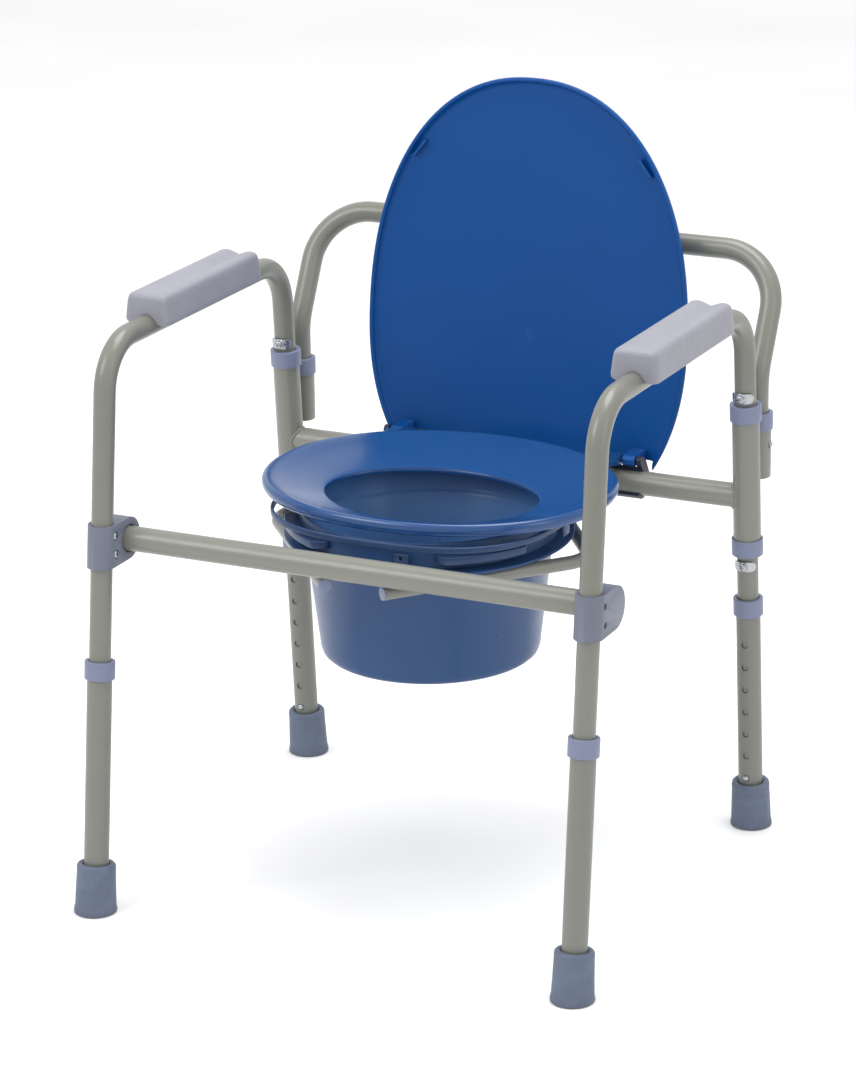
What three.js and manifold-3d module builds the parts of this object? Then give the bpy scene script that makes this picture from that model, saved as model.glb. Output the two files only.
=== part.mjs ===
// Commode chair: a bent-tube frame on telescopic legs, with a hinged seat and lid over a pail.
// Millimetres, +Z up, the front faces -Y and X = 0 is the plane of symmetry.
import * as THREE from "three";
import { mergeVertices } from "three/addons/utils/BufferGeometryUtils.js";
import Module from "manifold-3d";

const wasm = await Module();
wasm.setup();

// --- driving dimensions ---------------------------------------------------------------------
const GAP = 0.3; // between pieces that touch
const SIDES_OUT = 16; // facets round a tube
const SIDES_IN = 8; // facets round a hidden bore
const CENTRE_Y = -16.6; // moves the frame's middle over the origin

const LEG_X = 263; // side frames stand in the planes X = +-LEG_X
const TUBE_R = 11.1;
const TUBE_WALL = 1.5;
const ARM_Z = 574;
const ARM_BEND = 52;
const LEG_END_Z = 32; // lower end of the inner leg tube
const FRONT_LEG = { y: -202, lean: 0.115 }; // y at Z = 400, and how far it moves per mm up
const REAR_LEG = { y: 202, lean: -0.065 };

const EXT_R = 12.7; // telescopic leg extension
const EXT_WALL = 1.0;
const EXT_TOP_Z = 255;
const HOLE_PITCH = 25.4;
const HOLE_COUNT = 7;
const HOLE_R = 3.6;
const BUTTON_Z = 57;
const BUTTON_R = 3.1;
const FOOT = { top: 50, rTop: 19.5, rBottom: 22 };
const EXT_COLLAR = { top: 259, height: 19, r: 15.5 };

const SLEEVE_R = 14.3; // rear sleeves and backrest sockets
const SLEEVE_WALL = 1.4;
const SLEEVE_Z = [312, 468];
const SLEEVE_COLLAR = { height: 18, r: 16.3 };
const STOP_Z = [SLEEVE_Z[0] - 14.5, SLEEVE_Z[1] + 13.5]; // screws that keep a leg in its sleeve
const REAR_BAR = { y: 204.1, z: 370.5, r: 12.7 };
const SOCKET_Y = 232.4;
const SOCKET_Z = [385, 450];

const FRONT_BAR = { y: -175, z: 376.5, r: 12.7, endX: 270 };
const CLAMP = { halfX: 14.6, halfZ: 21.5, screwZ: [367.5, 386.5], screwY: -201.5 };

const BACK_BEND_Z = 493; // the backrest leans back above this height
const BACK_LEAN = 0.53;
const BACK_TOP_Z = 606;
const BACK_CORNER = 60;
const BACK_BUTTON_Z = 420;

const PIN = { y: 203, z: 394, r: 2.6 }; // hinge axis of the seat and the lid
const CLIP_X = [103, 148];
const KNUCKLE_R = 5.6;
const SEAT = { x: 184, yc: 24, front: 154, rear: 154, square: 2.1 };
const SEAT_HOLE = { x: 113, yc: 4, y: 84 };
const LID = { x: 182, wide: 92, top: 356, rear: 216, foot: -42, square: 2.2, lean: 5.5 };
const LID_BASE = { y: 227.6, z: 420 }; // point of the rim's front plane from which the lid is set out
const LID_DEPTH = 9;

const PAIL = { y: -2, bottom: 237, rBottom: 112, rHoop: 126, flangeR: 147, rimR: 131, top: 394 };
const BAIL = { z: 384, x: 150, front: 138, square: 2.7 };
const HOOP = { r: 7, z: 356, endX: 32, endY: -173, sideX: 178, rearX: 52, rearY: 178 };

const PAD = { y: [-100, 104], height: 33, rBottom: 26, rTop: 22 };

// --- materials ------------------------------------------------------------------------------
function finish(colour, roughness, metalness = 0) {
  return new THREE.MeshStandardMaterial({ color: colour, roughness, metalness });
}
const PAINT = finish(0x8b8c84, 0.45, 0.3);
const COLLAR = finish(0x858ba6, 0.5);
const CLAMP_GREY = finish(0x6f7482, 0.55);
const RUBBER = finish(0x5d6678, 0.8);
const PAD_GREY = finish(0x9d9ba6, 0.8);
const SEAT_BLUE = finish(0x1b4d8c, 0.25);
const PAIL_BLUE = finish(0x485f85, 0.4);
const NAVY = finish(0x1f2d4d, 0.4);
const STEEL = finish(0xc9ccd2, 0.25, 0.9);

// --- solids ---------------------------------------------------------------------------------
function trianglesOf(geometry) {
  const bare = geometry.clone();
  bare.deleteAttribute("normal");
  bare.deleteAttribute("uv");
  const merged = mergeVertices(bare, 1e-4);
  const index = merged.index.array;
  const faces = [];
  for (let i = 0; i < index.length; i += 3) {
    const [a, b, c] = [index[i], index[i + 1], index[i + 2]];
    if (a !== b && b !== c && c !== a) faces.push(a, b, c);
  }
  return { position: merged.attributes.position.array, faces };
}

function signedVolume({ position, faces }) {
  const at = (i) => new THREE.Vector3().fromArray(position, 3 * i);
  let sum = 0;
  for (let i = 0; i < faces.length; i += 3) {
    sum += at(faces[i]).dot(at(faces[i + 1]).cross(at(faces[i + 2])));
  }
  return sum / 6;
}

function solid(geometry) {
  const found = trianglesOf(geometry);
  if (signedVolume(found) < 0) found.faces.reverse();
  const mesh = new wasm.Mesh({
    numProp: 3,
    vertProperties: new Float32Array(found.position),
    triVerts: new Uint32Array(found.faces),
  });
  return new wasm.Manifold(mesh);
}

function geometryOf(body) {
  const mesh = body.getMesh();
  const geometry = new THREE.BufferGeometry();
  const values = new Float32Array(mesh.vertProperties);
  geometry.setAttribute("position", new THREE.BufferAttribute(values, 3));
  geometry.setIndex(new THREE.BufferAttribute(new Uint32Array(mesh.triVerts), 1));
  geometry.computeVertexNormals();
  return geometry;
}

function joined(bodies) {
  return bodies.reduce((sum, body) => sum.add(body));
}

function without(body, cutters) {
  return cutters.reduce((rest, cutter) => rest.subtract(cutter), body);
}

// --- tubes ----------------------------------------------------------------------------------
class StationPath extends THREE.Curve {
  constructor(stations) {
    super();
    this.stations = stations;
  }
  station(u) {
    return this.stations[Math.round(u * (this.stations.length - 1))];
  }
  getPoint(u, target = new THREE.Vector3()) {
    return target.copy(this.station(u).point);
  }
  getPointAt(u, target = new THREE.Vector3()) {
    return this.getPoint(u, target);
  }
  getTangentAt(u, target = new THREE.Vector3()) {
    return target.copy(this.station(u).tangent);
  }
}

function heading(from, to) {
  return to.clone().sub(from).normalize();
}

function bendStations(corner, before, after, radius) {
  const turn = before.angleTo(after);
  const inward = after.clone().addScaledVector(before, -Math.cos(turn)).normalize();
  const start = corner.clone().addScaledVector(before, -radius * Math.tan(turn / 2));
  const centre = start.clone().addScaledVector(inward, radius);
  const steps = Math.ceil(turn / THREE.MathUtils.degToRad(19));
  const out = [];
  for (let k = 0; k <= steps; k += 1) {
    const a = (turn * k) / steps;
    const point = centre.clone();
    point.addScaledVector(inward, -radius * Math.cos(a));
    point.addScaledVector(before, radius * Math.sin(a));
    const tangent = before.clone().multiplyScalar(Math.cos(a));
    tangent.addScaledVector(inward, Math.sin(a));
    out.push({ point, tangent });
  }
  return out;
}

function circle(radius, sides) {
  const points = [];
  for (let i = 0; i < sides; i += 1) {
    const a = (2 * Math.PI * (i + 0.5)) / sides;
    points.push(new THREE.Vector2(radius * Math.cos(a), radius * Math.sin(a)));
  }
  return points;
}

function tube(points, bend, outer, inner, sides = SIDES_OUT, sidesIn = SIDES_IN) {
  const last = points.length - 1;
  const stations = [{ point: points[0], tangent: heading(points[0], points[1]) }];
  for (let i = 1; i < last; i += 1) {
    const before = heading(points[i - 1], points[i]);
    const after = heading(points[i], points[i + 1]);
    stations.push(...bendStations(points[i], before, after, bend));
  }
  stations.push({ point: points[last], tangent: heading(points[last - 1], points[last]) });
  const shape = new THREE.Shape(circle(outer, sides));
  if (inner > 0) shape.holes.push(new THREE.Path(circle(inner, sidesIn)));
  const options = { steps: stations.length - 1, extrudePath: new StationPath(stations) };
  return solid(new THREE.ExtrudeGeometry(shape, options));
}

function rod(from, to, outer, inner = 0, sides = SIDES_OUT, sidesIn = sides) {
  return tube([from, to], 0, outer, inner, sides, sidesIn);
}

// --- other basic shapes ---------------------------------------------------------------------
function vec(x, y, z) {
  return new THREE.Vector3(x, y, z);
}

function box(low, high) {
  const size = high.map((value, i) => value - low[i]);
  const geometry = new THREE.BoxGeometry(...size);
  geometry.translate(...low.map((value, i) => (value + high[i]) / 2));
  return solid(geometry);
}

// profile in the Y-Z plane, pushed along X from xLow to xHigh
function slab(profile, xLow, xHigh) {
  const shape = new THREE.Shape(profile.map(([y, z]) => new THREE.Vector2(y, z)));
  const geometry = new THREE.ExtrudeGeometry(shape, { depth: xHigh - xLow, bevelEnabled: false });
  const toWorld = new THREE.Matrix4().set(0, 0, 1, xLow, 1, 0, 0, 0, 0, 1, 0, 0, 0, 0, 0, 1);
  geometry.applyMatrix4(toWorld);
  return solid(geometry);
}

// profile of [radius, height] pairs turned about an axis through base along direction
function turned(profile, base, direction, sides = SIDES_OUT) {
  const points = profile.map(([r, h]) => new THREE.Vector2(r, h));
  const geometry = new THREE.LatheGeometry(points, sides);
  const turn = new THREE.Quaternion().setFromUnitVectors(vec(0, 1, 0), direction);
  geometry.applyQuaternion(turn);
  geometry.translate(base.x, base.y, base.z);
  return solid(geometry);
}

function ringProfile(outer, inner, low, high) {
  return [[inner, low], [outer, low], [outer, high], [inner, high], [inner, low]];
}

function arc(cy, cz, radius, from, to, steps) {
  const points = [];
  for (let i = 0; i <= steps; i += 1) {
    const a = THREE.MathUtils.degToRad(from + ((to - from) * i) / steps);
    points.push([cy + radius * Math.cos(a), cz + radius * Math.sin(a)]);
  }
  return points;
}

// closed surface through rows of points; ends are closed with a fan when capped
function skin(rows, capped) {
  const count = rows[0].length;
  const points = rows.flat();
  const faces = [];
  const rowCount = capped ? rows.length - 1 : rows.length;
  for (let r = 0; r < rowCount; r += 1) {
    const next = (r + 1) % rows.length;
    for (let i = 0; i < count; i += 1) {
      const j = (i + 1) % count;
      const [a, b, c, d] = [r * count + i, r * count + j, next * count + i, next * count + j];
      faces.push(a, b, c, b, d, c);
    }
  }
  if (capped) {
    for (const [row, flip] of [[0, true], [rows.length - 1, false]]) {
      const middle = new THREE.Vector3();
      rows[row].forEach((point) => middle.addScaledVector(point, 1 / count));
      const hub = points.push(middle) - 1;
      for (let i = 0; i < count; i += 1) {
        const [a, b] = [row * count + i, row * count + ((i + 1) % count)];
        if (flip) faces.push(hub, b, a);
        else faces.push(hub, a, b);
      }
    }
  }
  const geometry = new THREE.BufferGeometry().setFromPoints(points);
  geometry.setIndex(faces);
  return solid(geometry);
}

// --- legs: positions and directions ---------------------------------------------------------
function onLeg(leg, side, z) {
  return vec(side * LEG_X, leg.y + leg.lean * (z - 400), z);
}

function legUp(leg) {
  return vec(0, leg.lean, 1).normalize();
}

// the side of a leg that carries its holes: rearward in front, forward at the back
function holeFace(leg) {
  const out = leg === FRONT_LEG ? 1 : -1;
  const up = legUp(leg);
  return vec(0, out * up.z, -out * up.y);
}

function across(leg, side, z, reach, radius, from = 0) {
  const centre = onLeg(leg, side, z);
  const face = holeFace(leg);
  const a = centre.clone().addScaledVector(face, from);
  const b = centre.clone().addScaledVector(face, reach);
  return rod(a, b, radius, 0, 8);
}

// --- frame pieces ---------------------------------------------------------------------------
function sideFrame(side) {
  const path = [
    onLeg(FRONT_LEG, side, LEG_END_Z),
    onLeg(FRONT_LEG, side, ARM_Z + 2),
    onLeg(REAR_LEG, side, ARM_Z - 2),
    onLeg(REAR_LEG, side, LEG_END_Z),
  ];
  const bare = tube(path, ARM_BEND, TUBE_R, TUBE_R - TUBE_WALL);
  const cuts = [
    across(FRONT_LEG, side, BUTTON_Z, 20, HOLE_R),
    across(REAR_LEG, side, BUTTON_Z, 20, HOLE_R),
    across(REAR_LEG, side, STOP_Z[0], 20, 2.4),
    across(REAR_LEG, side, STOP_Z[1], 20, 2.4),
  ];
  for (const z of CLAMP.screwZ) {
    const y = CLAMP.screwY;
    cuts.push(rod(vec(side * LEG_X - 15, y, z), vec(side * LEG_X + 15, y, z), 2.4, 0, 8));
  }
  return without(bare, cuts);
}

function sleeve(side) {
  const low = onLeg(REAR_LEG, side, SLEEVE_Z[0]);
  const high = onLeg(REAR_LEG, side, SLEEVE_Z[1]);
  return rod(low, high, SLEEVE_R, SLEEVE_R - SLEEVE_WALL);
}

// plastic cap on a tube end, with a bore that guides the tube sliding through it
function cap(base, up, r, height, roof, tubeR) {
  const bore = TUBE_R + GAP;
  const profile = [
    [bore, 0],
    [tubeR + GAP, 0],
    [tubeR + GAP, roof - height],
    [r, roof - height],
    [r, roof - 1],
    [r - 1, roof],
    [bore, roof],
    [bore, 0],
  ];
  return turned(profile, base.clone().addScaledVector(up, GAP), up);
}

function sleeveCollar(side, top) {
  const up = legUp(REAR_LEG).multiplyScalar(top ? 1 : -1);
  const base = onLeg(REAR_LEG, side, top ? SLEEVE_Z[1] : SLEEVE_Z[0]);
  const { r, height } = SLEEVE_COLLAR;
  return cap(base, up, r, height, 4, SLEEVE_R);
}

function rearBar() {
  const { y, z, r } = REAR_BAR;
  const bare = rod(vec(-LEG_X, y, z), vec(LEG_X, y, z), r, r - 1.4, SIDES_OUT, SIDES_IN);
  const copes = [-1, 1].map((side) => {
    const low = onLeg(REAR_LEG, side, z - 40);
    return rod(low, onLeg(REAR_LEG, side, z + 40), SLEEVE_R + GAP);
  });
  const beyond = [-1, 1].map((side) => {
    const x = [side * LEG_X, side * (LEG_X + 20)].sort((a, b) => a - b);
    return box([x[0], y - 20, z - 20], [x[1], y + 20, z + 20]);
  });
  return without(bare, [...copes, ...beyond]);
}

// socket with the small web that stands off the sleeve
function socket(side) {
  const x = side * LEG_X;
  const [low, high] = SOCKET_Z;
  const outside = rod(vec(x, SOCKET_Y, low), vec(x, SOCKET_Y, high), SLEEVE_R);
  const web = box([x - 3, SOCKET_Y - 26, low + 6], [x + 3, SOCKET_Y, high - 14]);
  const sleeveSpace = rod(
    onLeg(REAR_LEG, side, low - 20),
    onLeg(REAR_LEG, side, high + 20),
    SLEEVE_R + GAP,
  );
  const bore = rod(
    vec(x, SOCKET_Y, low - 1),
    vec(x, SOCKET_Y, high + 1),
    SLEEVE_R - SLEEVE_WALL,
  );
  const hole = rod(
    vec(x, SOCKET_Y, BACK_BUTTON_Z),
    vec(x + side * 20, SOCKET_Y, BACK_BUTTON_Z),
    HOLE_R,
    0,
    8,
  );
  return without(outside.add(web), [sleeveSpace, bore, hole]);
}

function socketCollar(side) {
  const { r, height } = SLEEVE_COLLAR;
  const base = vec(side * LEG_X, SOCKET_Y, SOCKET_Z[1]);
  return cap(base, vec(0, 0, 1), r - 0.4, height, 4, SLEEVE_R);
}

function backrest() {
  const lean = (BACK_TOP_Z - BACK_BEND_Z) * BACK_LEAN;
  const foot = SOCKET_Z[0] + 5;
  const half = [
    vec(LEG_X, SOCKET_Y, foot),
    vec(LEG_X, SOCKET_Y, BACK_BEND_Z),
    vec(LEG_X, SOCKET_Y + lean, BACK_TOP_Z),
  ];
  const other = half.map((p) => vec(-p.x, p.y, p.z)).reverse();
  const bare = tube([...half, ...other], BACK_CORNER, TUBE_R, TUBE_R - TUBE_WALL);
  const holes = [-1, 1].map((side) => {
    const x = side * LEG_X;
    const from = vec(x, SOCKET_Y, BACK_BUTTON_Z);
    return rod(from, vec(x + side * 20, SOCKET_Y, BACK_BUTTON_Z), HOLE_R, 0, 8);
  });
  return without(bare, holes);
}

// saddle washer and screw that stop a rear leg in its sleeve
function saddle(side, z) {
  const up = legUp(REAR_LEG);
  const face = holeFace(REAR_LEG);
  const centre = onLeg(REAR_LEG, side, z);
  const ring = turned(ringProfile(14, TUBE_R + GAP, -5.5, 5.5), centre, up, 20);
  const rear = centre.y - 6;
  const keep = box([centre.x - 20, centre.y - 30, z - 20], [centre.x + 20, rear, z + 20]);
  const tip = centre.clone().addScaledVector(face, 14.6);
  const boss = rod(centre.clone().addScaledVector(face, 12.4), tip, 5, 0, 12);
  const bore = rod(centre, centre.clone().addScaledVector(face, 30), 2.4, 0, 8);
  return ring.intersect(keep).add(boss).subtract(bore);
}

function panScrew(tip, head, shankR, headR, headHeight) {
  const length = tip.distanceTo(head);
  const profile = [
    [0, 0],
    [shankR, 0],
    [shankR, length],
    [headR, length],
    [headR, length + headHeight * 0.5],
    [headR * 0.6, length + headHeight],
    [0, length + headHeight],
  ];
  return turned(profile, tip, heading(tip, head), 10);
}

function stopScrew(side, z) {
  const centre = onLeg(REAR_LEG, side, z);
  const face = holeFace(REAR_LEG);
  const tip = centre.clone().addScaledVector(face, 6);
  const head = centre.clone().addScaledVector(face, 14.6 + GAP);
  return panScrew(tip, head, 2, 4, 2.6);
}

// --- front bar ------------------------------------------------------------------------------
function frontBar() {
  const { y, z, r, endX } = FRONT_BAR;
  return rod(vec(-endX, y, z), vec(endX, y, z), r, r - 1.4, SIDES_OUT, SIDES_IN);
}

function clamp(side) {
  const { y, z, r, endX } = FRONT_BAR;
  const { halfX, halfZ, screwZ, screwY } = CLAMP;
  const x = side * LEG_X;
  const up = legUp(FRONT_LEG);
  const low = onLeg(FRONT_LEG, side, z - 60);
  const high = onLeg(FRONT_LEG, side, z + 60);
  const trim = box([x - 40, y - 60, z - halfZ], [x + 40, y + 60, z + halfZ]);
  const ring = rod(low, high, halfX, 0, 24).intersect(trim);
  const legY = onLeg(FRONT_LEG, side, z).y;
  const profile = [[legY, z - halfZ], ...arc(y, z, halfZ, -90, 90, 10), [legY, z + halfZ]];
  const ear = slab(profile, x - halfX, x + halfX);
  const bore = rod(low, high, TUBE_R + GAP);
  const inner = x - side * (halfX + 1);
  const barSpace = rod(vec(inner, y, z), vec(side * (endX + GAP), y, z), r + GAP);
  const cuts = [bore, barSpace];
  for (const sz of screwZ) {
    const outer = x + side * (halfX + 1);
    cuts.push(rod(vec(inner, screwY, sz), vec(outer, screwY, sz), 2.4, 0, 8));
    cuts.push(rod(vec(x + side * 12.6, screwY, sz), vec(outer, screwY, sz), 3.8, 0, 8));
    cuts.push(rod(vec(inner, screwY, sz), vec(x - side * 13, screwY, sz), 4.4, 0, 12));
  }
  return without(ring.add(ear), cuts);
}

function clampScrew(side, z) {
  const { halfX, screwY } = CLAMP;
  const x = side * LEG_X;
  const tip = vec(x + side * 12, screwY, z);
  const head = vec(x - side * (13 + GAP), screwY, z);
  return panScrew(tip, head, 2, 3.8, 2.4);
}

// --- legs -----------------------------------------------------------------------------------
function extension(leg, side) {
  const low = onLeg(leg, side, 8);
  const bare = rod(low, onLeg(leg, side, EXT_TOP_Z), EXT_R, EXT_R - EXT_WALL);
  const up = legUp(leg);
  const holes = [];
  for (let i = 0; i < HOLE_COUNT; i += 1) {
    const along = BUTTON_Z + i * HOLE_PITCH * up.z;
    holes.push(across(leg, side, along, 20, HOLE_R));
  }
  return without(bare, holes);
}

function extensionCollar(leg, side) {
  const { top, height, r } = EXT_COLLAR;
  return cap(onLeg(leg, side, EXT_TOP_Z), legUp(leg), r, height, top - EXT_TOP_Z, EXT_R);
}

function foot(leg, side) {
  const { top, rTop, rBottom } = FOOT;
  const up = legUp(leg);
  const profile = [
    [0, -6],
    [rBottom, -6],
    [rTop, top - 2],
    [rTop - 2, top],
    [EXT_R + GAP, top],
    [EXT_R + GAP, 7],
    [0, 7],
  ];
  const body = turned(profile, onLeg(leg, side, 0), up, 20);
  const centre = onLeg(leg, side, 0);
  const floor = box([centre.x - 40, centre.y - 40, -40], [centre.x + 40, centre.y + 40, 0]);
  return body.subtract(floor);
}

function button(centre, out, tipR, flangeR) {
  const profile = [
    [0, flangeR - 1.2],
    [4.4, flangeR - 1.2],
    [4.4, flangeR],
    [BUTTON_R, flangeR],
    [BUTTON_R, tipR - 1.4],
    [BUTTON_R * 0.7, tipR - 0.3],
    [0, tipR],
  ];
  return turned(profile, centre, out, 10);
}

function legButton(leg, side) {
  return button(onLeg(leg, side, BUTTON_Z), holeFace(leg), EXT_R + 2.2, 8);
}

function backButton(side) {
  const centre = vec(side * LEG_X, SOCKET_Y, BACK_BUTTON_Z);
  return button(centre, vec(side, 0, 0), SLEEVE_R + 2.2, 8);
}

// --- arm pads -------------------------------------------------------------------------------
function armZ(y) {
  const a = onLeg(FRONT_LEG, 1, ARM_Z + 2);
  const b = onLeg(REAR_LEG, 1, ARM_Z - 2);
  return a.z + ((b.z - a.z) * (y - a.y)) / (b.y - a.y);
}

function padSection(y, shrink) {
  const { height, rBottom, rTop } = PAD;
  const low = armZ(y) - 1 + shrink;
  const high = armZ(y) - 1 + height - shrink;
  const wide = rBottom - shrink;
  const slim = rTop - shrink;
  const fade = THREE.MathUtils.smoothstep(y, -40, 70);
  const dip = 4.5 * fade;
  const half = [
    [0, high - dip],
    [slim * 0.55, high - dip * 0.2],
    [slim * 0.86, high],
    [slim + 0.4, high - 4],
    [wide, low + 2.5],
    [wide - 3, low],
    [0, low],
  ];
  const other = half.slice(1, -1).map(([x, z]) => [-x, z]).reverse();
  return [...half, ...other];
}

function pad(side) {
  const [front, rear] = PAD.y;
  const rows = [];
  const stations = [
    [front, 4],
    [front + 3, 0],
    [-40, 0],
    [-10, 0],
    [30, 0],
    [70, 0],
    [rear - 3, 0],
    [rear, 4],
  ];
  for (const [y, shrink] of stations) {
    rows.push(padSection(y, shrink).map(([x, z]) => vec(side * LEG_X + x, y, z)));
  }
  const body = skin(rows, true);
  const x = side * LEG_X;
  const a = vec(x, front - 20, armZ(front - 20));
  const b = vec(x, rear + 20, armZ(rear + 20));
  const r = TUBE_R + GAP;
  const drop = vec(0, 0, -8);
  const channel = rod(a, b, r).add(rod(a.clone().add(drop), b.clone().add(drop), r));
  return body.subtract(channel);
}

// --- seat and lid ---------------------------------------------------------------------------
function power(value, n) {
  return Math.sign(value) * Math.abs(value) ** (2 / n);
}

function seatOutline(u) {
  const { x, yc, front, rear, square } = SEAT;
  const depth = Math.sin(u) < 0 ? front : rear;
  return [x * power(Math.cos(u), square), yc + depth * power(Math.sin(u), square)];
}

function seatHole(u) {
  return [SEAT_HOLE.x * Math.cos(u), SEAT_HOLE.yc + SEAT_HOLE.y * Math.sin(u)];
}

// section from the hole (0) to the outer edge (1), with heights
const SEAT_SECTION = [
  [0, 395],
  [0, 398.6],
  [0.3, 403.4],
  [0.6, 408.2],
  [0.86, 413.4],
  [0.95, 413.8],
  [1, 409],
  [0.985, 403.4],
  [0.93, 401.6],
  [0.87, 408],
  [0.6, 403.8],
  [0.04, 395],
];

const SEAT_ARM = [
  [132, 404.6],
  [146, 399.8],
  [PIN.y - 2.4, PIN.z - 5],
  [PIN.y + 2, PIN.z + 5],
  [172, 404.4],
  [160, 411],
  [140, 408.6],
];

function pinHole(xLow, xHigh) {
  return rod(vec(xLow, PIN.y, PIN.z), vec(xHigh, PIN.y, PIN.z), PIN.r + 0.45, 0, 12);
}

function knuckle(xLow, xHigh) {
  return rod(vec(xLow, PIN.y, PIN.z), vec(xHigh, PIN.y, PIN.z), KNUCKLE_R, 0, 12);
}

function seat() {
  const around = 44;
  const rows = SEAT_SECTION.map(([s, z]) => {
    const row = [];
    for (let i = 0; i < around; i += 1) {
      const u = (2 * Math.PI * i) / around;
      const [ox, oy] = seatOutline(u);
      const [hx, hy] = seatHole(u);
      row.push(vec(hx + s * (ox - hx), hy + s * (oy - hy), z));
    }
    return row;
  });
  let body = skin(rows, false);
  for (const side of [-1, 1]) {
    const [a, b] = side > 0 ? [110.5, 124.5] : [-124.5, -110.5];
    const arm = slab(SEAT_ARM, a, b);
    body = body.add(arm).add(knuckle(a, b)).subtract(pinHole(a - 1, b + 1));
  }
  return body;
}

// lid outline as a distance from its middle, in the lid's own plane
function lidOutline(u) {
  const { x, wide, top, rear, foot: bottom, square } = LID;
  const up = Math.sin(u) > 0;
  const reach = up ? top - wide : rear;
  const px = x * power(Math.cos(u), square);
  const pt = wide + reach * power(Math.sin(u), square);
  if (pt >= bottom) return [px, pt];
  const k = (wide - bottom) / (wide - pt);
  return [px * k, bottom];
}

// [inset from the edge, depth behind the rim's front plane]
const LID_ROWS = [
  [120, 10.5],
  [60, 9.6],
  [14, 6.6],
  [7, 4.8],
  [4, 0.3],
  [1, 0.4],
  [0, 3],
  [1.4, 7.4],
  [9, 9.6],
  [60, 13],
  [120, 14],
];

function lidPoint(x, t, depth) {
  const a = THREE.MathUtils.degToRad(LID.lean);
  const y = LID_BASE.y + t * Math.sin(a) + depth * Math.cos(a);
  const z = LID_BASE.z + t * Math.cos(a) - depth * Math.sin(a);
  return vec(x, y, z);
}

function lid() {
  const around = 44;
  const middle = LID.wide;
  const rows = LID_ROWS.map(([inset, depth]) => {
    const row = [];
    for (let i = 0; i < around; i += 1) {
      const [px, pt] = lidOutline((2 * Math.PI * i) / around);
      const far = Math.hypot(px, pt - middle);
      const k = (far - inset) / far;
      row.push(lidPoint(px * k, middle + (pt - middle) * k, depth));
    }
    return row;
  });
  let body = skin(rows, true);
  for (const side of [-1, 1]) {
    const [low, high] = side > 0 ? [101.5, 149.5] : [-149.5, -101.5];
    body = body.subtract(box([low, 195, 365], [high, 250, PIN.z - 7]));
    body = body.subtract(box([low, 195, 365], [high, PIN.y + 19.5, PIN.z + 8]));
    const [a, b] = side > 0 ? [126.5, 140.5] : [-140.5, -126.5];
    const link = box([a, PIN.y, PIN.z - 5], [b, PIN.y + 27, PIN.z + 5]);
    body = body.add(link).add(knuckle(a, b)).subtract(pinHole(a - 1, b + 1));
    body = body.add(lidBumper(side));
  }
  return body;
}

function lidBumper(side) {
  const geometry = new THREE.BoxGeometry(4, 9, 22);
  geometry.rotateY(THREE.MathUtils.degToRad(-side * 38));
  const at = lidPoint(side * 128, 272, 3.6);
  geometry.rotateX(-THREE.MathUtils.degToRad(LID.lean));
  geometry.translate(at.x, at.y, at.z);
  return solid(geometry);
}

function hingeClip(side) {
  const [low, high] = side > 0 ? CLIP_X : [-CLIP_X[1], -CLIP_X[0]];
  const { y, z, r } = REAR_BAR;
  const ring = [...arc(y, z, r + 3.8, -140, 96, 14), ...arc(y, z, r + 2 * GAP, 96, -140, 14)];
  let body = slab(ring, low, high);
  const cheek = [
    [y - 1, z + r + 2],
    [y + r + 2, z + 1],
    [y + r + 4, z + 8],
    [PIN.y + 8, PIN.z + 1],
    ...arc(PIN.y, PIN.z, KNUCKLE_R, 10, 185, 6),
  ];
  const barSpace = rod(vec(low - 1, y, z), vec(high + 1, y, z), r + 2 * GAP);
  for (const [a, b] of [[low, low + 5.5], [high - 5.5, high]]) {
    body = body.add(slab(cheek, a, b).subtract(barSpace));
  }
  return body.add(rod(vec(low + 1, PIN.y, PIN.z), vec(high - 1, PIN.y, PIN.z), PIN.r, 0, 12));
}

// --- pail and its hoop ----------------------------------------------------------------------
function hoop() {
  const { r, z, endX, endY, sideX, rearX, rearY } = HOOP;
  const half = [vec(endX, endY, z), vec(sideX, 0, z), vec(rearX, rearY, z)];
  const other = half.map((p) => vec(-p.x, p.y, p.z)).reverse();
  return tube([...half, ...other], 34, r, r - 1.4, 12, 6);
}

function hoopPlug(side) {
  const { r, z, endX, endY, sideX } = HOOP;
  const end = vec(side * endX, endY, z);
  const out = heading(vec(side * sideX, 0, z), end);
  const stem = r - 2.6;
  const profile = [
    [0, -10],
    [stem, -10],
    [stem, GAP],
    [r, GAP],
    [r, 1.6],
    [r - 0.9, 2.4],
    [0, 2.4],
  ];
  return turned(profile, end, out, 12);
}

function hoopBracket() {
  const { y, z, r } = REAR_BAR;
  const block = slab(
    [
      [HOOP.rearY - 10, HOOP.z - 9],
      [y + 9, HOOP.z - 9],
      [y + r + 3, z - 6],
      [y + r + 3, z],
      [HOOP.rearY - 2, z],
      [HOOP.rearY - 10, HOOP.z + 3],
    ],
    -24,
    24,
  );
  const barSpace = rod(vec(-30, y, z), vec(30, y, z), r + GAP);
  const hoopSpace = rod(
    vec(-30, HOOP.rearY, HOOP.z),
    vec(30, HOOP.rearY, HOOP.z),
    HOOP.r + GAP,
  );
  return without(block, [barSpace, hoopSpace]);
}

function sector(outer, inner, zLow, zHigh, from, to) {
  const steps = Math.ceil(Math.abs(to - from) / 9);
  const points = [...arc(0, 0, outer, from, to, steps), ...arc(0, 0, inner, to, from, steps)];
  const shape = new THREE.Shape(points.map(([x, y]) => new THREE.Vector2(x, y)));
  const geometry = new THREE.ExtrudeGeometry(shape, { depth: zHigh - zLow, bevelEnabled: false });
  geometry.translate(0, PAIL.y, zLow);
  return solid(geometry);
}

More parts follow.
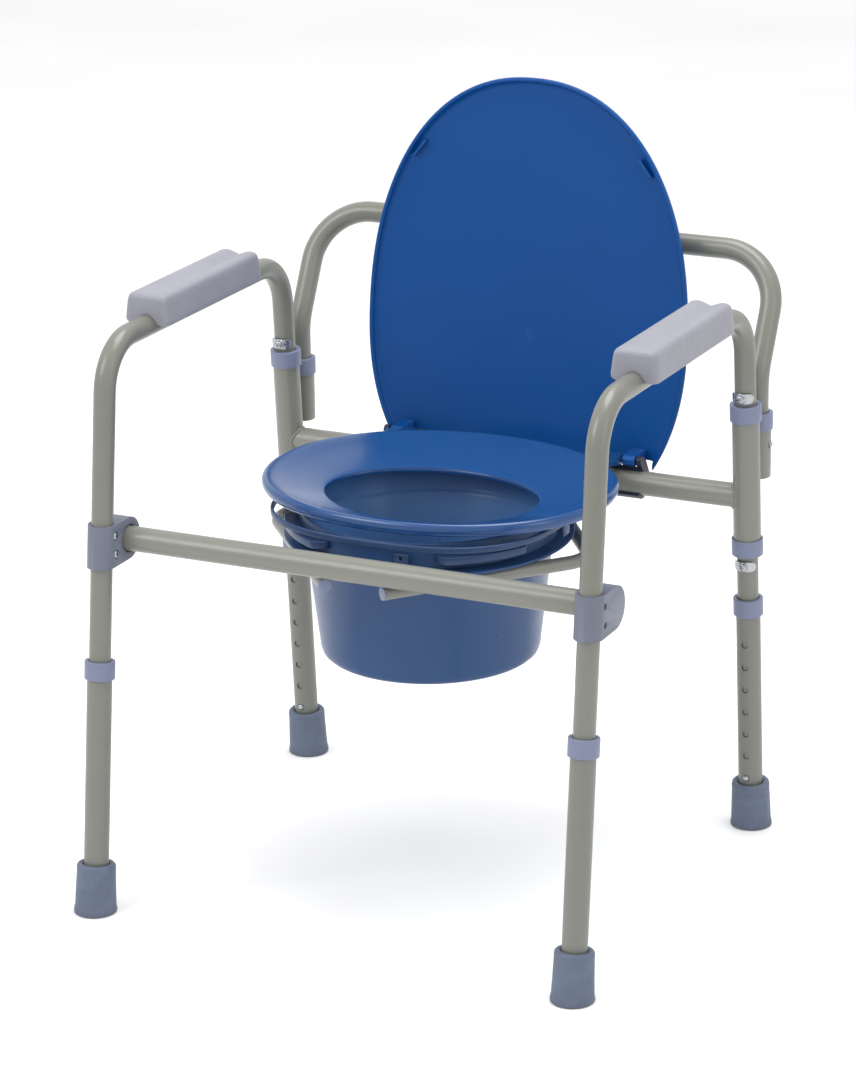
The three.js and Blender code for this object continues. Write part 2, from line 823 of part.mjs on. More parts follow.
function pail() {
  const { y, bottom, rBottom, rHoop, flangeR, rimR, top } = PAIL;
  const flange = HOOP.z + HOOP.r + 0.4;
  const wall = 2.4;
  const profile = [
    [0, bottom],
    [rBottom - 8, bottom],
    [rBottom, bottom + 8],
    [rHoop, flange],
    [flangeR, flange],
    [flangeR, flange + 3.6],
    [rimR, flange + 3.6],
    [rimR, top],
    [rimR - wall, top],
    [rimR - wall, flange + 4],
    [rHoop - wall, flange],
    [rBottom - wall, bottom + 9],
    [rBottom - 9, bottom + wall],
    [0, bottom + wall],
  ];
  let body = turned(profile, vec(0, y, 0), vec(0, 0, 1), 40);
  body = body.add(sector(146, rimR - 1, flange + 12, flange + 20, 200, 247));
  body = body.add(sector(146, rimR - 1, flange + 12, flange + 20, 298, 340));
  for (const side of [-1, 1]) {
    const x = [side * (rimR - 1), side * (rimR + 7)].sort((a, b) => a - b);
    body = body.add(box([x[0], y - 9, flange + 14], [x[1], y + 9, flange + 27]));
    const hole = [vec(side * (rimR + 1.5), y, BAIL.z), vec(side * (rimR + 20), y, BAIL.z)];
    body = body.subtract(rod(...hole, 3.4, 0, 10));
  }
  const lugY = y - Math.sqrt(rimR ** 2 - 32 ** 2);
  const lug = box([24.5, lugY - 5, flange + 7], [39.5, lugY + 2, flange + 20]);
  const lugHole = rod(vec(32, lugY - 6, flange + 16), vec(32, lugY - 2.5, flange + 16), 2, 0, 8);
  return body.add(lug).subtract(lugHole);
}

function bailHandle() {
  const { y, rimR } = PAIL;
  const outline = (grow) => {
    const points = [];
    for (let i = 0; i <= 20; i += 1) {
      const u = Math.PI + (Math.PI * i) / 20;
      const px = (BAIL.x + grow) * power(Math.cos(u), BAIL.square);
      const py = (BAIL.front + grow) * power(Math.sin(u), BAIL.square);
      points.push(new THREE.Vector2(px, y + py));
    }
    return points;
  };
  const shape = new THREE.Shape([...outline(1.6), ...outline(-1.6).reverse()]);
  const strip = new THREE.ExtrudeGeometry(shape, { depth: 6, bevelEnabled: false });
  strip.translate(0, 0, 390);
  let body = solid(strip);
  for (const side of [-1, 1]) {
    const x = [side * (BAIL.x - 1.6), side * (BAIL.x + 1.6)].sort((a, b) => a - b);
    body = body.add(box([x[0], y - 7, BAIL.z - 6], [x[1], y + 7, 396]));
    const stub = [vec(side * (rimR + 2), y, BAIL.z), vec(side * BAIL.x, y, BAIL.z)];
    body = body.add(rod(...stub, 3, 0, 10));
  }
  return body;
}

// --- assembly -------------------------------------------------------------------------------
const SIDES = [["left", -1], ["right", 1]];
const LEGS = [["front", FRONT_LEG], ["rear", REAR_LEG]];

const assembly = new THREE.Group();

function place(name, body, material) {
  const geometry = geometryOf(body);
  geometry.translate(0, CENTRE_Y, 0);
  const mesh = new THREE.Mesh(geometry, material);
  mesh.name = name;
  assembly.add(mesh);
}

for (const [hand, side] of SIDES) {
  place(`side_frame_${hand}`, sideFrame(side), PAINT);
  place(`arm_pad_${hand}`, pad(side), PAD_GREY);
  place(`rear_sleeve_${hand}`, sleeve(side), PAINT);
  place(`sleeve_collar_top_${hand}`, sleeveCollar(side, true), COLLAR);
  place(`sleeve_collar_bottom_${hand}`, sleeveCollar(side, false), COLLAR);
  place(`backrest_socket_${hand}`, socket(side), PAINT);
  place(`socket_collar_${hand}`, socketCollar(side), COLLAR);
  place(`backrest_button_${hand}`, backButton(side), STEEL);
  place(`front_clamp_${hand}`, clamp(side), CLAMP_GREY);
  place(`hinge_clip_${hand}`, hingeClip(side), NAVY);
  place(`hoop_plug_${hand}`, hoopPlug(side), COLLAR);
  for (const [i, level] of ["low", "high"].entries()) {
    place(`saddle_washer_${level}_${hand}`, saddle(side, STOP_Z[i]), STEEL);
    place(`stop_screw_${level}_${hand}`, stopScrew(side, STOP_Z[i]), STEEL);
    place(`clamp_screw_${level}_${hand}`, clampScrew(side, CLAMP.screwZ[i]), STEEL);
  }
  for (const [end, leg] of LEGS) {
    place(`leg_extension_${end}_${hand}`, extension(leg, side), PAINT);
    place(`leg_collar_${end}_${hand}`, extensionCollar(leg, side), COLLAR);
    place(`foot_${end}_${hand}`, foot(leg, side), RUBBER);
    place(`leg_button_${end}_${hand}`, legButton(leg, side), STEEL);
  }
}
place("rear_crossbar", rearBar(), PAINT);
place("front_crossbar", frontBar(), PAINT);
place("backrest_bar", backrest(), PAINT);
place("seat_ring", seat(), SEAT_BLUE);
place("lid", lid(), SEAT_BLUE);
place("pail_hoop", hoop(), PAINT);
place("hoop_bracket", hoopBracket(), PAINT);
place("pail", pail(), PAIL_BLUE);
place("pail_handle", bailHandle(), PAIL_BLUE);

export default assembly;
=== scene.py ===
# Commode chair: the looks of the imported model. Metres, +Z up, the front faces -Y.
import math

import bmesh
import bpy
from mathutils import Matrix, Vector


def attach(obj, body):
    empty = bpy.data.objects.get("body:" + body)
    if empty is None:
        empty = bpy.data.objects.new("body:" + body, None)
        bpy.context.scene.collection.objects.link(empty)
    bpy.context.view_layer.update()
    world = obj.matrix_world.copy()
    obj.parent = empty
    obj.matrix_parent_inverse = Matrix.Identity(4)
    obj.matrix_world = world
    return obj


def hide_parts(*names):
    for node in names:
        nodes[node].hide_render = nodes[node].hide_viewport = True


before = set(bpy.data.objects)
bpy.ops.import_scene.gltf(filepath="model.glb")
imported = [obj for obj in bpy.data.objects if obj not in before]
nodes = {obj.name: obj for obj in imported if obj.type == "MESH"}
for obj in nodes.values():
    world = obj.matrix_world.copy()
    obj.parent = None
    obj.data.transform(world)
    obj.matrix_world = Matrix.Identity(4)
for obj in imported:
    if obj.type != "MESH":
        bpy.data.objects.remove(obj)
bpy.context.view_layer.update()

# --- dimensions, millimetres, as in the model ------------------------------------------------
GAP = 0.3  # clearance between pieces that fit into each other
CENTRE_Y = -16.6  # moves the drawing's y = 0 so that the chair stands over the origin
LEG_X = 263
TUBE_R = 11.1
TUBE_WALL = 1.5
BAR_WALL = 1.4
ARM_Z = 574
ARM_RISE = 2  # the front end of the arm is this much above ARM_Z, the rear end this much below
ARM_BEND = 52
LEG_END_Z = 32
LEAN_Z = 400  # the height at which a leg's y is given
FRONT_LEG = (-202, 0.115)  # y and lean
REAR_LEG = (202, -0.065)
EXT_R = 12.7
EXT_END_Z = 8
EXT_TOP_Z = 255
HOLE_PITCH = 25.4
HOLE_COUNT = 7
HOLE_R = 3.6
EXT_HOLE_R = 3.5
SLEEVE_R = 14.3
SLEEVE_Z = (312, 468)
COLLAR_ROOF = 4  # how far a collar reaches past the end of its tube
SLEEVE_COLLAR = (16.3, 18)  # outer radius and height of a collar
SOCKET_COLLAR = (15.9, 18)
LEG_COLLAR = (15.5, 19)
STOP_Z = (297.5, 481.5)
STOP_SCREW = (2, 4, 2.6)  # shank radius, head radius and head height
REAR_BAR = (204.1, 370.5, 12.7)  # y, z and radius of a crossbar
FRONT_BAR = (-175, 376.5, 12.7)
REAR_BAR_X = 256.4
FRONT_BAR_X = 270
CLAMP_SCREW_Y = -201.5
CLAMP_SCREW_Z = (367.5, 386.5)
CLAMP_SCREW = (2, 3.8, 2.4)
SOCKET_Y = 232.4
SOCKET_Z = (385, 450)
BACK_BEND = 60
BACK_BUTTON_Z = 420
BACK_BUTTON_TIP = 16.5  # how far the button's tip stands from the tube's axis
BUTTON_Z = 57
BUTTON_TIP = 14.9
PAD_HEIGHT = 33
PAD_HALF_X = 26
PAD_DIP = 4.6  # depth of the hollow along the top
PIN = (203, 394)  # y and z of the hinge axis of the seat and the lid
PIN_BORE = 3.05
KNUCKLE_R = 5.6
SEAT_HALF = (184, 154)  # half width and half depth
SEAT_Y = 24
SEAT_POWER = 2.1
SEAT_HOLE_HALF = (113, 84)
SEAT_HOLE_Y = 4
SEAT_ARM_X = (110.5, 124.5)
LID_ARM_X = (126.5, 140.5)
LID_CUT_X = (101.5, 149.5)  # the notches that clear the hinge clips
LID_HALF_X = 182
LID_POWER = 2.2
LID_WIDEST = 92  # height on the lid at which it is widest
LID_TOP = 356
LID_FOOT = -42
LID_TAIL = 216  # how far the lower oval would reach below LID_WIDEST if it were not cut at LID_FOOT
LID_LEAN = 5.5  # degrees
LID_BASE = (227.6, 420)  # y and z of the open lid at height 0 on it
PAIL_Y = -2
PAIL_NECK_R = 131
BAIL_HALF = (150, 138)
BAIL_POWER = 2.7
BAIL_Z = 384
BAIL_TOP = 396
HOOP_R = 7
HOOP_BEND = 34
HOOP_END = (32, -173, 356)  # the corners of half the hoop's path
HOOP_SIDE = (178, 0, 356)
HOOP_REAR = (52, 178, 356)
SIDES = (("left", -1), ("right", 1))
LEGS = (("front", FRONT_LEG), ("rear", REAR_LEG))


# --- vectors and legs ------------------------------------------------------------------------
def vec(x, y, z):
    """A point of the drawing, in millimetres."""
    return Vector((x, y + CENTRE_Y, z))


def leg_y(leg, z):
    return leg[0] + leg[1] * (z - LEAN_Z)


def on_leg(leg, side, z):
    """The point on a leg's axis at height z."""
    return vec(side * LEG_X, leg_y(leg, z), z)


def leg_up(leg):
    return Vector((0, leg[1], 1)).normalized()


def hole_face(leg):
    """The way a leg's holes face: towards the middle of the chair."""
    out = 1 if leg is FRONT_LEG else -1
    up = leg_up(leg)
    return Vector((0, out * up.z, -out * up.y))


def x_range(side, near, far):
    """A range of x on one side of the chair, low end first."""
    return sorted((side * near, side * far))


# --- mesh building ---------------------------------------------------------------------------
def make(name, verts, faces):
    """A new object from vertices in millimetres."""
    mesh = bpy.data.meshes.new(name)
    mesh.from_pydata([tuple(v * 0.001) for v in verts], [], faces)
    build = bmesh.new()
    build.from_mesh(mesh)
    bmesh.ops.remove_doubles(build, verts=build.verts, dist=1e-7)
    bmesh.ops.recalc_face_normals(build, faces=build.faces)
    build.to_mesh(mesh)
    build.free()
    obj = bpy.data.objects.new(name, mesh)
    bpy.context.scene.collection.objects.link(obj)
    return obj


def modify(obj, kind, **values):
    mod = obj.modifiers.new(kind.title(), kind)
    for key, value in values.items():
        setattr(mod, key, value)
    return mod


def settle(obj):
    """Applies an object's modifiers."""
    graph = bpy.context.evaluated_depsgraph_get()
    done = bpy.data.meshes.new_from_object(obj.evaluated_get(graph))
    obj.modifiers.clear()
    obj.data = done
    return obj


def combine(obj, operation, *tools):
    for tool in tools:
        modify(obj, "BOOLEAN", object=tool, operation=operation, solver="EXACT")
    settle(obj)
    for tool in tools:
        bpy.data.objects.remove(tool)
    return obj


def soften(obj, width, segments=3, angle=35):
    """Rounds the sharp edges."""
    modify(
        obj, "BEVEL", width=width * 0.001, segments=segments, limit_method="ANGLE",
        angle_limit=math.radians(angle), harden_normals=False,
    )
    return settle(obj)


def shade(obj, angle=38):
    """Smooth shading, with edges sharper than the angle kept."""
    mesh = obj.data
    mesh.polygons.foreach_set("use_smooth", [True] * len(mesh.polygons))
    mesh.set_sharp_from_angle(angle=math.radians(angle))
    return obj


def bend_path(points, radius, step=5):
    """Straight runs between points, with round bends, as (position, tangent) pairs."""
    out = [(points[0], (points[1] - points[0]).normalized())]
    for before, corner, after in zip(points, points[1:], points[2:]):
        a = (corner - before).normalized()
        b = (after - corner).normalized()
        turn = a.angle(b)
        inward = (b - a * math.cos(turn)).normalized()
        start = corner - a * radius * math.tan(turn / 2)
        centre = start + inward * radius
        count = max(2, math.ceil(math.degrees(turn) / step))
        for k in range(count + 1):
            t = turn * k / count
            place = centre - inward * radius * math.cos(t) + a * radius * math.sin(t)
            out.append((place, a * math.cos(t) + inward * math.sin(t)))
    out.append((points[-1], (points[-1] - points[-2]).normalized()))
    return out


def carried_frames(path):
    """Cross-section axes carried along a path without twisting."""
    tangent = path[0][1]
    side = tangent.orthogonal().normalized()
    frames = []
    for place, new in path:
        side = tangent.rotation_difference(new) @ side
        side = (side - new * side.dot(new)).normalized()
        tangent = new
        frames.append((place, side, new.cross(side)))
    return frames


def tube(name, points, bend, outer, inner=0.0, sides=40, edge=0.5):
    """A bent tube with softly rounded ends, hollow when inner is set."""
    path = bend_path([Vector(p) for p in points], bend)
    frames = carried_frames(path)
    first, last = path[0], path[-1]
    rings = [(first[0], frames[0], outer - edge)]
    rings.append((first[0] + first[1] * edge, frames[0], outer))
    rings += [(f[0], f, outer) for f in frames[1:-1]]
    rings.append((last[0] - last[1] * edge, frames[-1], outer))
    rings.append((last[0], frames[-1], outer - edge))
    if inner:
        rings.append((last[0], frames[-1], inner))
        rings += [(f[0], f, inner) for f in reversed(frames[1:-1])]
        rings.append((first[0], frames[0], inner))
    verts = []
    for place, (_, side, up), radius in rings:
        for i in range(sides):
            t = 2 * math.pi * i / sides
            verts.append(place + side * radius * math.cos(t) + up * radius * math.sin(t))
    return loft(name, verts, len(rings), sides, closed=bool(inner))


def loft(name, verts, rows, count, closed=False):
    """Rings of vertices joined in order, with flat ends, or the last joined to the first."""
    faces = []
    for r in range(rows if closed else rows - 1):
        n = (r + 1) % rows
        for i in range(count):
            j = (i + 1) % count
            faces.append((r * count + i, r * count + j, n * count + j, n * count + i))
    if not closed:
        faces.append(tuple(reversed(range(count))))
        faces.append(tuple(range((rows - 1) * count, rows * count)))
    return make(name, verts, faces)


def turned(name, profile, base, direction, sides=48):
    """[radius, height] pairs turned about an axis; the profile closes on the axis or on itself."""
    turn = Vector((0, 0, 1)).rotation_difference(direction)
    closed = profile[0] == profile[-1]
    if closed:
        profile = profile[:-1]
    verts = []
    for radius, height in profile:
        for i in range(sides):
            t = 2 * math.pi * i / sides
            r = max(radius, 0.0)
            spot = Vector((r * math.cos(t), r * math.sin(t), height))
            verts.append(turn @ spot + base)
    faces = []
    rows = len(profile)
    for r in range(rows if closed else rows - 1):
        n = (r + 1) % rows
        for i in range(sides):
            j = (i + 1) % sides
            quad = [(r, i), (r, j), (n, j), (n, i)]
            if profile[r][0] <= 0:
                quad = quad[1:]
            if profile[n][0] <= 0:
                quad = [q for q in quad if q != (n, j)] if profile[r][0] > 0 else quad
            faces.append(tuple(a * sides + b for a, b in quad))
    return make(name, verts, faces)


def rounded(profile, radius, steps=3):
    """Rounds the corners of a closed [radius, height] profile that doesn't touch the axis."""
    points = [Vector(p) for p in profile[:-1]]
    out = []
    for i, corner in enumerate(points):
        a = points[i - 1] - corner
        b = points[(i + 1) % len(points)] - corner
        cut = min(radius, a.length * 0.45, b.length * 0.45)
        p, q = corner + a.normalized() * cut, corner + b.normalized() * cut
        for k in range(steps + 1):
            t = k / steps
            spot = p * (1 - t) ** 2 + corner * 2 * t * (1 - t) + q * t * t
            out.append((spot.x, spot.y))
    return out + [out[0]]


def block(name, low, high):
    """A box between two corners."""
    x, y, z = zip(low, high)
    verts = [Vector((a, b, c)) for a in x for b in y for c in z]
    faces = [(0, 1, 3, 2), (4, 6, 7, 5), (0, 4, 5, 1), (2, 3, 7, 6), (0, 2, 6, 4), (1, 5, 7, 3)]
    return make(name, verts, faces)


def rod(name, a, b, radius, sides=32):
    return tube(name, [a, b], 0, radius, 0.0, sides, 0.0)


# --- materials -------------------------------------------------------------------------------
class Nodes:
    """Short calls for building one material's node tree."""

    def __init__(self, name):
        self.material = bpy.data.materials.new(name)
        self.material.use_nodes = True
        self.tree = self.material.node_tree
        self.shader = self.tree.nodes["Principled BSDF"]
        self.place = self.add("ShaderNodeTexCoord").outputs["Object"]

    def add(self, kind, **values):
        node = self.tree.nodes.new(kind)
        for key, value in values.items():
            setattr(node, key, value)
        return node

    def link(self, a, b):
        self.tree.links.new(a, b)

    def noise(self, scale, detail=3.0, rough=0.55, stretch=None):
        node = self.add("ShaderNodeTexNoise")
        node.inputs["Scale"].default_value = scale
        node.inputs["Detail"].default_value = detail
        node.inputs["Roughness"].default_value = rough
        source = self.place
        if stretch:
            mapping = self.add("ShaderNodeMapping")
            mapping.inputs["Scale"].default_value = stretch
            self.link(self.place, mapping.inputs["Vector"])
            source = mapping.outputs["Vector"]
        self.link(source, node.inputs["Vector"])
        return node.outputs["Fac"]

    def ramp(self, value, low, high, start=0.3, end=0.7):
        node = self.add("ShaderNodeValToRGB")
        node.color_ramp.elements[0].position = start
        node.color_ramp.elements[1].position = end
        node.color_ramp.elements[0].color = (*low, 1)
        node.color_ramp.elements[1].color = (*high, 1)
        self.link(value, node.inputs["Fac"])
        return node.outputs["Color"]

    def span(self, value, low, high):
        node = self.add("ShaderNodeMapRange")
        node.inputs["From Min"].default_value = 0.3
        node.inputs["From Max"].default_value = 0.7
        node.inputs["To Min"].default_value = low
        node.inputs["To Max"].default_value = high
        self.link(value, node.inputs["Value"])
        return node.outputs["Result"]

    def bump(self, height, strength, distance, under=None):
        node = self.add("ShaderNodeBump")
        node.inputs["Strength"].default_value = strength
        node.inputs["Distance"].default_value = distance
        self.link(height, node.inputs["Height"])
        if under:
            self.link(under, node.inputs["Normal"])
        return node.outputs["Normal"]

    def painted_edge_highlight(self, colour, pale, amount):
        """Painted highlight: lightens the colour on convex edges, where light catches them."""
        edge = self.add("ShaderNodeNewGeometry").outputs["Pointiness"]
        reach = self.add("ShaderNodeMapRange")
        reach.inputs["From Min"].default_value = 0.52
        reach.inputs["From Max"].default_value = 0.62
        reach.inputs["To Max"].default_value = amount
        self.link(edge, reach.inputs["Value"])
        mix = self.add("ShaderNodeMix", data_type="RGBA")
        mix.inputs["B"].default_value = (*pale, 1)
        self.link(reach.outputs["Result"], mix.inputs["Factor"])
        self.link(colour, mix.inputs["A"])
        return mix.outputs["Result"]

    def finish(self, colour, rough, normal, **values):
        self.link(colour, self.shader.inputs["Base Color"])
        self.link(rough, self.shader.inputs["Roughness"])
        self.link(normal, self.shader.inputs["Normal"])
        for key, value in values.items():
            self.shader.inputs[key.replace("_", " ")].default_value = value
        return self.material


def shaded(colour, factor):
    return tuple(c * factor for c in colour)


def plastic(name, colour, rough=0.4, grain=900, grain_depth=0.05, mottle=0.06, coat=0.0, shine=0.5):
    """Moulded plastic or paint: faint cloudy colour, fine grain, slightly uneven gloss."""
    n = Nodes(name)
    cloud = n.noise(9, 4)
    tone = n.ramp(cloud, shaded(colour, 1 - mottle), shaded(colour, 1 + mottle))
    # painted highlight: convex edges are drawn paler, as if catching light
    tone = n.painted_edge_highlight(tone, tuple(min(1, c * 1.5 + 0.03) for c in colour), 0.35)
    gloss = n.span(n.noise(35, 3), rough * 0.88, rough * 1.14)
    fine = n.bump(n.noise(grain, 2), grain_depth, 0.0003)
    return n.finish(tone, gloss, fine,
                    Coat_Weight=coat, Coat_Roughness=0.12, Specular_IOR_Level=shine)


def thin_plastic(name, colour, inner):
    """The pail's thin moulded wall: light comes through it, so its hollow side looks paler."""
    n = Nodes(name)
    out = n.add("ShaderNodeVectorMath", operation="MULTIPLY")
    out.inputs[1].default_value = (1, 1, 0)
    n.link(n.place, out.inputs[0])
    facing = n.add("ShaderNodeVectorMath", operation="DOT_PRODUCT")
    n.link(out.outputs["Vector"], facing.inputs[0])
    n.link(n.add("ShaderNodeNewGeometry").outputs["Normal"], facing.inputs[1])
    hollow = n.add("ShaderNodeMapRange")
    hollow.inputs["From Min"].default_value = -0.01
    hollow.inputs["From Max"].default_value = -0.06
    n.link(facing.outputs["Value"], hollow.inputs["Value"])
    cloud = n.noise(9, 4)
    mix = n.add("ShaderNodeMix", data_type="RGBA")
    n.link(hollow.outputs["Result"], mix.inputs["Factor"])
    n.link(n.ramp(cloud, shaded(colour, 0.95), shaded(colour, 1.05)), mix.inputs["A"])
    n.link(n.ramp(cloud, shaded(inner, 0.96), shaded(inner, 1.04)), mix.inputs["B"])
    gloss = n.span(n.noise(35, 3), 0.27, 0.33)
    fine = n.bump(n.noise(220, 3), 0.03, 0.0003)
    return n.finish(mix.outputs["Result"], gloss, fine, Specular_IOR_Level=0.25)


def foam(name, colour):
    """Integral-skin foam with a pebbled, leather-like skin."""
    n = Nodes(name)
    cells = n.add("ShaderNodeTexVoronoi", feature="SMOOTH_F1")
    cells.inputs["Scale"].default_value = 620
    n.link(n.place, cells.inputs["Vector"])
    cloud = n.noise(14, 5)
    tone = n.ramp(cloud, shaded(colour, 0.93), shaded(colour, 1.05))
    pebble = n.bump(cells.outputs["Distance"], 0.55, 0.0005)
    crease = n.bump(n.noise(260, 4), 0.35, 0.0004, pebble)
    gloss = n.span(n.noise(120, 3), 0.5, 0.68)
    return n.finish(tone, gloss, crease, Sheen_Weight=0.08)


def rubber(name, colour):
    n = Nodes(name)
    dust = n.noise(45, 6, 0.7)
    tone = n.ramp(dust, shaded(colour, 0.85), shaded(colour, 1.1))
    low = n.add("ShaderNodeSeparateXYZ")
    n.link(n.place, low.inputs["Vector"])
    # darker towards the bottom: below 12 mm the colour blends towards near-black
    low_darkening = n.add("ShaderNodeMapRange")
    low_darkening.inputs["From Min"].default_value = 0.012
    low_darkening.inputs["From Max"].default_value = 0.0
    low_darkening.inputs["To Max"].default_value = 0.3
    n.link(low.outputs["Z"], low_darkening.inputs["Value"])
    mix = n.add("ShaderNodeMix", data_type="RGBA")
    mix.inputs["B"].default_value = (0.06, 0.07, 0.09, 1)
    n.link(low_darkening.outputs["Result"], mix.inputs["Factor"])
    n.link(tone, mix.inputs["A"])
    gloss = n.span(n.noise(150, 3), 0.5, 0.7)
    grain = n.bump(n.noise(700, 3), 0.2, 0.0004)
    return n.finish(mix.outputs["Result"], gloss, grain)


def metal(name, colour, rough):
    n = Nodes(name)
    lines = n.noise(300, 4, 0.6, (1, 1, 9))
    tone = n.ramp(lines, shaded(colour, 0.85), colour)
    gloss = n.span(lines, rough * 0.7, rough * 1.5)
    return n.finish(tone, gloss, n.bump(lines, 0.12, 0.0002), Metallic=1.0)


def linear(red, green, blue):
    def one(value):
        value /= 255
        return value / 12.92 if value <= 0.04045 else ((value + 0.055) / 1.055) ** 2.4
    return (one(red), one(green), one(blue))


PAINT = plastic("frame_paint", linear(111, 112, 104), 0.34, 1400, 0.06, 0.035, 0.15)
EXTENSION = plastic("extension_paint", linear(106, 107, 100), 0.4, 1400, 0.06, 0.04, 0.1)
COLLAR = plastic("collar_plastic", linear(108, 116, 141), 0.42, 800, 0.08, 0.05)
CLAMP = plastic("clamp_plastic", linear(96, 101, 116), 0.48, 520, 0.16, 0.05)
FOOT = rubber("foot_rubber", linear(86, 97, 116))
PAD = foam("pad_foam", linear(132, 132, 142))
SEAT = plastic("seat_plastic", linear(20, 66, 120), 0.24, 1500, 0.02, 0.03, 0.25, 0.45)
LID = plastic("lid_plastic", linear(3, 66, 130), 0.34, 1500, 0.02, 0.03, 0.0, 0.2)
# Painted shade: a darker copy of the pail wall's blue, for the handle, grips, lug and ears that lie
# in the seat's shadow.
PAIL_IN_SHADE = plastic("pail_plastic", linear(38, 62, 97), 0.34, 1200, 0.02, 0.04, 0.05, 0.3)
PAIL_WALL = thin_plastic("pail_wall_plastic", linear(41, 69, 110), linear(70, 112, 164))
# Painted shade: the hinge clips are the seat's blue plastic, painted dark navy for the shadow they
# sit in below the seat.
SHADED_CLIP_BLUE = plastic("clip_plastic", linear(16, 22, 48), 0.4, 800, 0.08, 0.05, 0.0, 0.3)
STEEL = metal("bright_steel", (0.44, 0.45, 0.48), 0.24)


def add(obj, material, slot, body, *replaced, angle=38):
    """Gives a finished piece its material and body, and says what it stands for; slot is not used.
    """
    obj.data.materials.clear()
    obj.data.materials.append(material)
    shade(obj, angle)
    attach(obj, body)
    if replaced:
        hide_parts(*replaced)
    return obj


def keep(node, material):
    """A CAD node that stays, with a finished material."""
    obj = nodes[node]
    obj.data.materials.clear()
    obj.data.materials.append(material)
    shade(obj, 30)


# --- camera and light ------------------------------------------------------------------------
CAMERA_ANGLES = (25.657, 18.762, -0.861)  # turn to the right, height and roll, degrees
CAMERA_LENS = 169.285
CAMERA_SPOT = Vector((1.6658, -3.4731 + CENTRE_Y * 0.001, 1.6610))
LAMP_AIM = Vector((0, 0, 0.4))
FLOOR_HALF = 12000


def camera():
    turn, tilt, roll = (math.radians(angle) for angle in CAMERA_ANGLES)
    back = Vector((
        math.sin(turn) * math.cos(tilt), -math.cos(turn) * math.cos(tilt), math.sin(tilt)
    ))
    right = Vector((math.cos(turn), math.sin(turn), 0))
    up = back.cross(right)
    basis = Matrix((right, up, back)).transposed()
    basis = basis @ Matrix.Rotation(roll, 3, "Z")
    data = bpy.data.cameras.new("camera")
    data.sensor_fit = "HORIZONTAL"
    data.sensor_width = 36
    data.lens = CAMERA_LENS
    data.clip_end = 50
    obj = bpy.data.objects.new("camera", data)
    bpy.context.scene.collection.objects.link(obj)
    obj.matrix_world = Matrix.Translation(CAMERA_SPOT) @ basis.to_4x4()
    bpy.context.scene.camera = obj


def lamp(name, spot, size, power):
    """A rectangular area light that faces the chair."""
    data = bpy.data.lights.new(name, "AREA")
    data.shape = "RECTANGLE"
    data.size, data.size_y = size
    data.energy = power
    obj = bpy.data.objects.new(name, data)
    bpy.context.scene.collection.objects.link(obj)
    look = LAMP_AIM - Vector(spot)
    obj.matrix_world = Matrix.Translation(spot) @ look.to_track_quat("-Z", "Y").to_matrix().to_4x4()


def studio():
    corners = ((-1, -1), (1, -1), (1, 1), (-1, 1))
    verts = [Vector((x * FLOOR_HALF, y * FLOOR_HALF, -1)) for x, y in corners]
    floor = make("floor", verts, [(0, 1, 2, 3)])
    n = Nodes("floor")
    tone = n.ramp(n.noise(2, 2), (0.86, 0.86, 0.86), (0.9, 0.9, 0.9))
    gloss, ripple = n.span(n.noise(3), 0.6, 0.7), n.bump(n.noise(8), 0.01, 0.001)
    floor.data.materials.append(n.finish(tone, gloss, ripple))
    world = bpy.data.worlds.new("world")
    world.use_nodes = True
    background = world.node_tree.nodes["Background"]
    background.inputs["Color"].default_value = (1, 1, 1, 1)
    background.inputs["Strength"].default_value = 1.0
    bpy.context.scene.world = world
    lamp("key", (-1.6, -2.2, 2.6), (1.6, 1.6), 40)
    lamp("side", (2.6, -0.6, 1.4), (0.8, 1.8), 8)
    lamp("top", (0.2, 0.4, 3.0), (2.0, 1.4), 54)
    bpy.context.scene.view_settings.view_transform = "Standard"


# --- frame -----------------------------------------------------------------------------------
def weld(name, side):
    """The bead where the rear crossbar meets its sleeve."""
    y, z, radius = REAR_BAR
    around, beads = 48, 10
    points = []
    for i in range(around):
        t = 2 * math.pi * i / around
        py = y + radius * math.cos(t)
        pz = z + radius * math.sin(t)
        off = py - leg_y(REAR_LEG, pz)
        off = max(-SLEEVE_R + 0.2, min(SLEEVE_R - 0.2, off))
        px = side * (LEG_X - math.sqrt(SLEEVE_R ** 2 - off ** 2))
        points.append(vec(px, py, pz))
    verts = []
    for i, place in enumerate(points):
        along = (points[(i + 1) % around] - points[i - 1]).normalized()
        out = Vector((-side, 0, 0))
        up = along.cross(out).normalized()
        out = up.cross(along)
        size = 1.7 + 0.12 * math.sin(7.3 * i)
        for k in range(beads):
            a = 2 * math.pi * k / beads
            verts.append(place + (out * math.cos(a) + up * math.sin(a)) * size)
    return loft(name, verts, around, beads, closed=True)


def side_frames():
    for hand, side in SIDES:
        path = [on_leg(FRONT_LEG, side, LEG_END_Z), on_leg(FRONT_LEG, side, ARM_Z + ARM_RISE),
                on_leg(REAR_LEG, side, ARM_Z - ARM_RISE), on_leg(REAR_LEG, side, LEG_END_Z)]
        bar = tube(f"side_tube_{hand}", path, ARM_BEND, TUBE_R, TUBE_R - TUBE_WALL)
        holes = []
        for leg in (FRONT_LEG, REAR_LEG):
            centre = on_leg(leg, side, BUTTON_Z)
            holes.append(rod("hole", centre, centre + hole_face(leg) * 20, HOLE_R))
        combine(bar, "DIFFERENCE", *holes)
        add(bar, PAINT, "paint", "frame", f"side_frame_{hand}")


def collar(name, base, up, size, tube_r, body):
    """A plastic collar on a tube's end, with a roof that closes in on the tube inside it."""
    r, height = size
    bore, mouth, low = TUBE_R + GAP, tube_r + GAP, COLLAR_ROOF - height
    profile = [(bore, 0), (mouth, 0), (mouth, low), (r, low), (r, COLLAR_ROOF), (bore, COLLAR_ROOF),
               (bore, 0)]
    ring = turned(name + "_trim", rounded(profile, 1.1), base + up * GAP, up)
    add(ring, COLLAR, "collar_plastic", body, name)


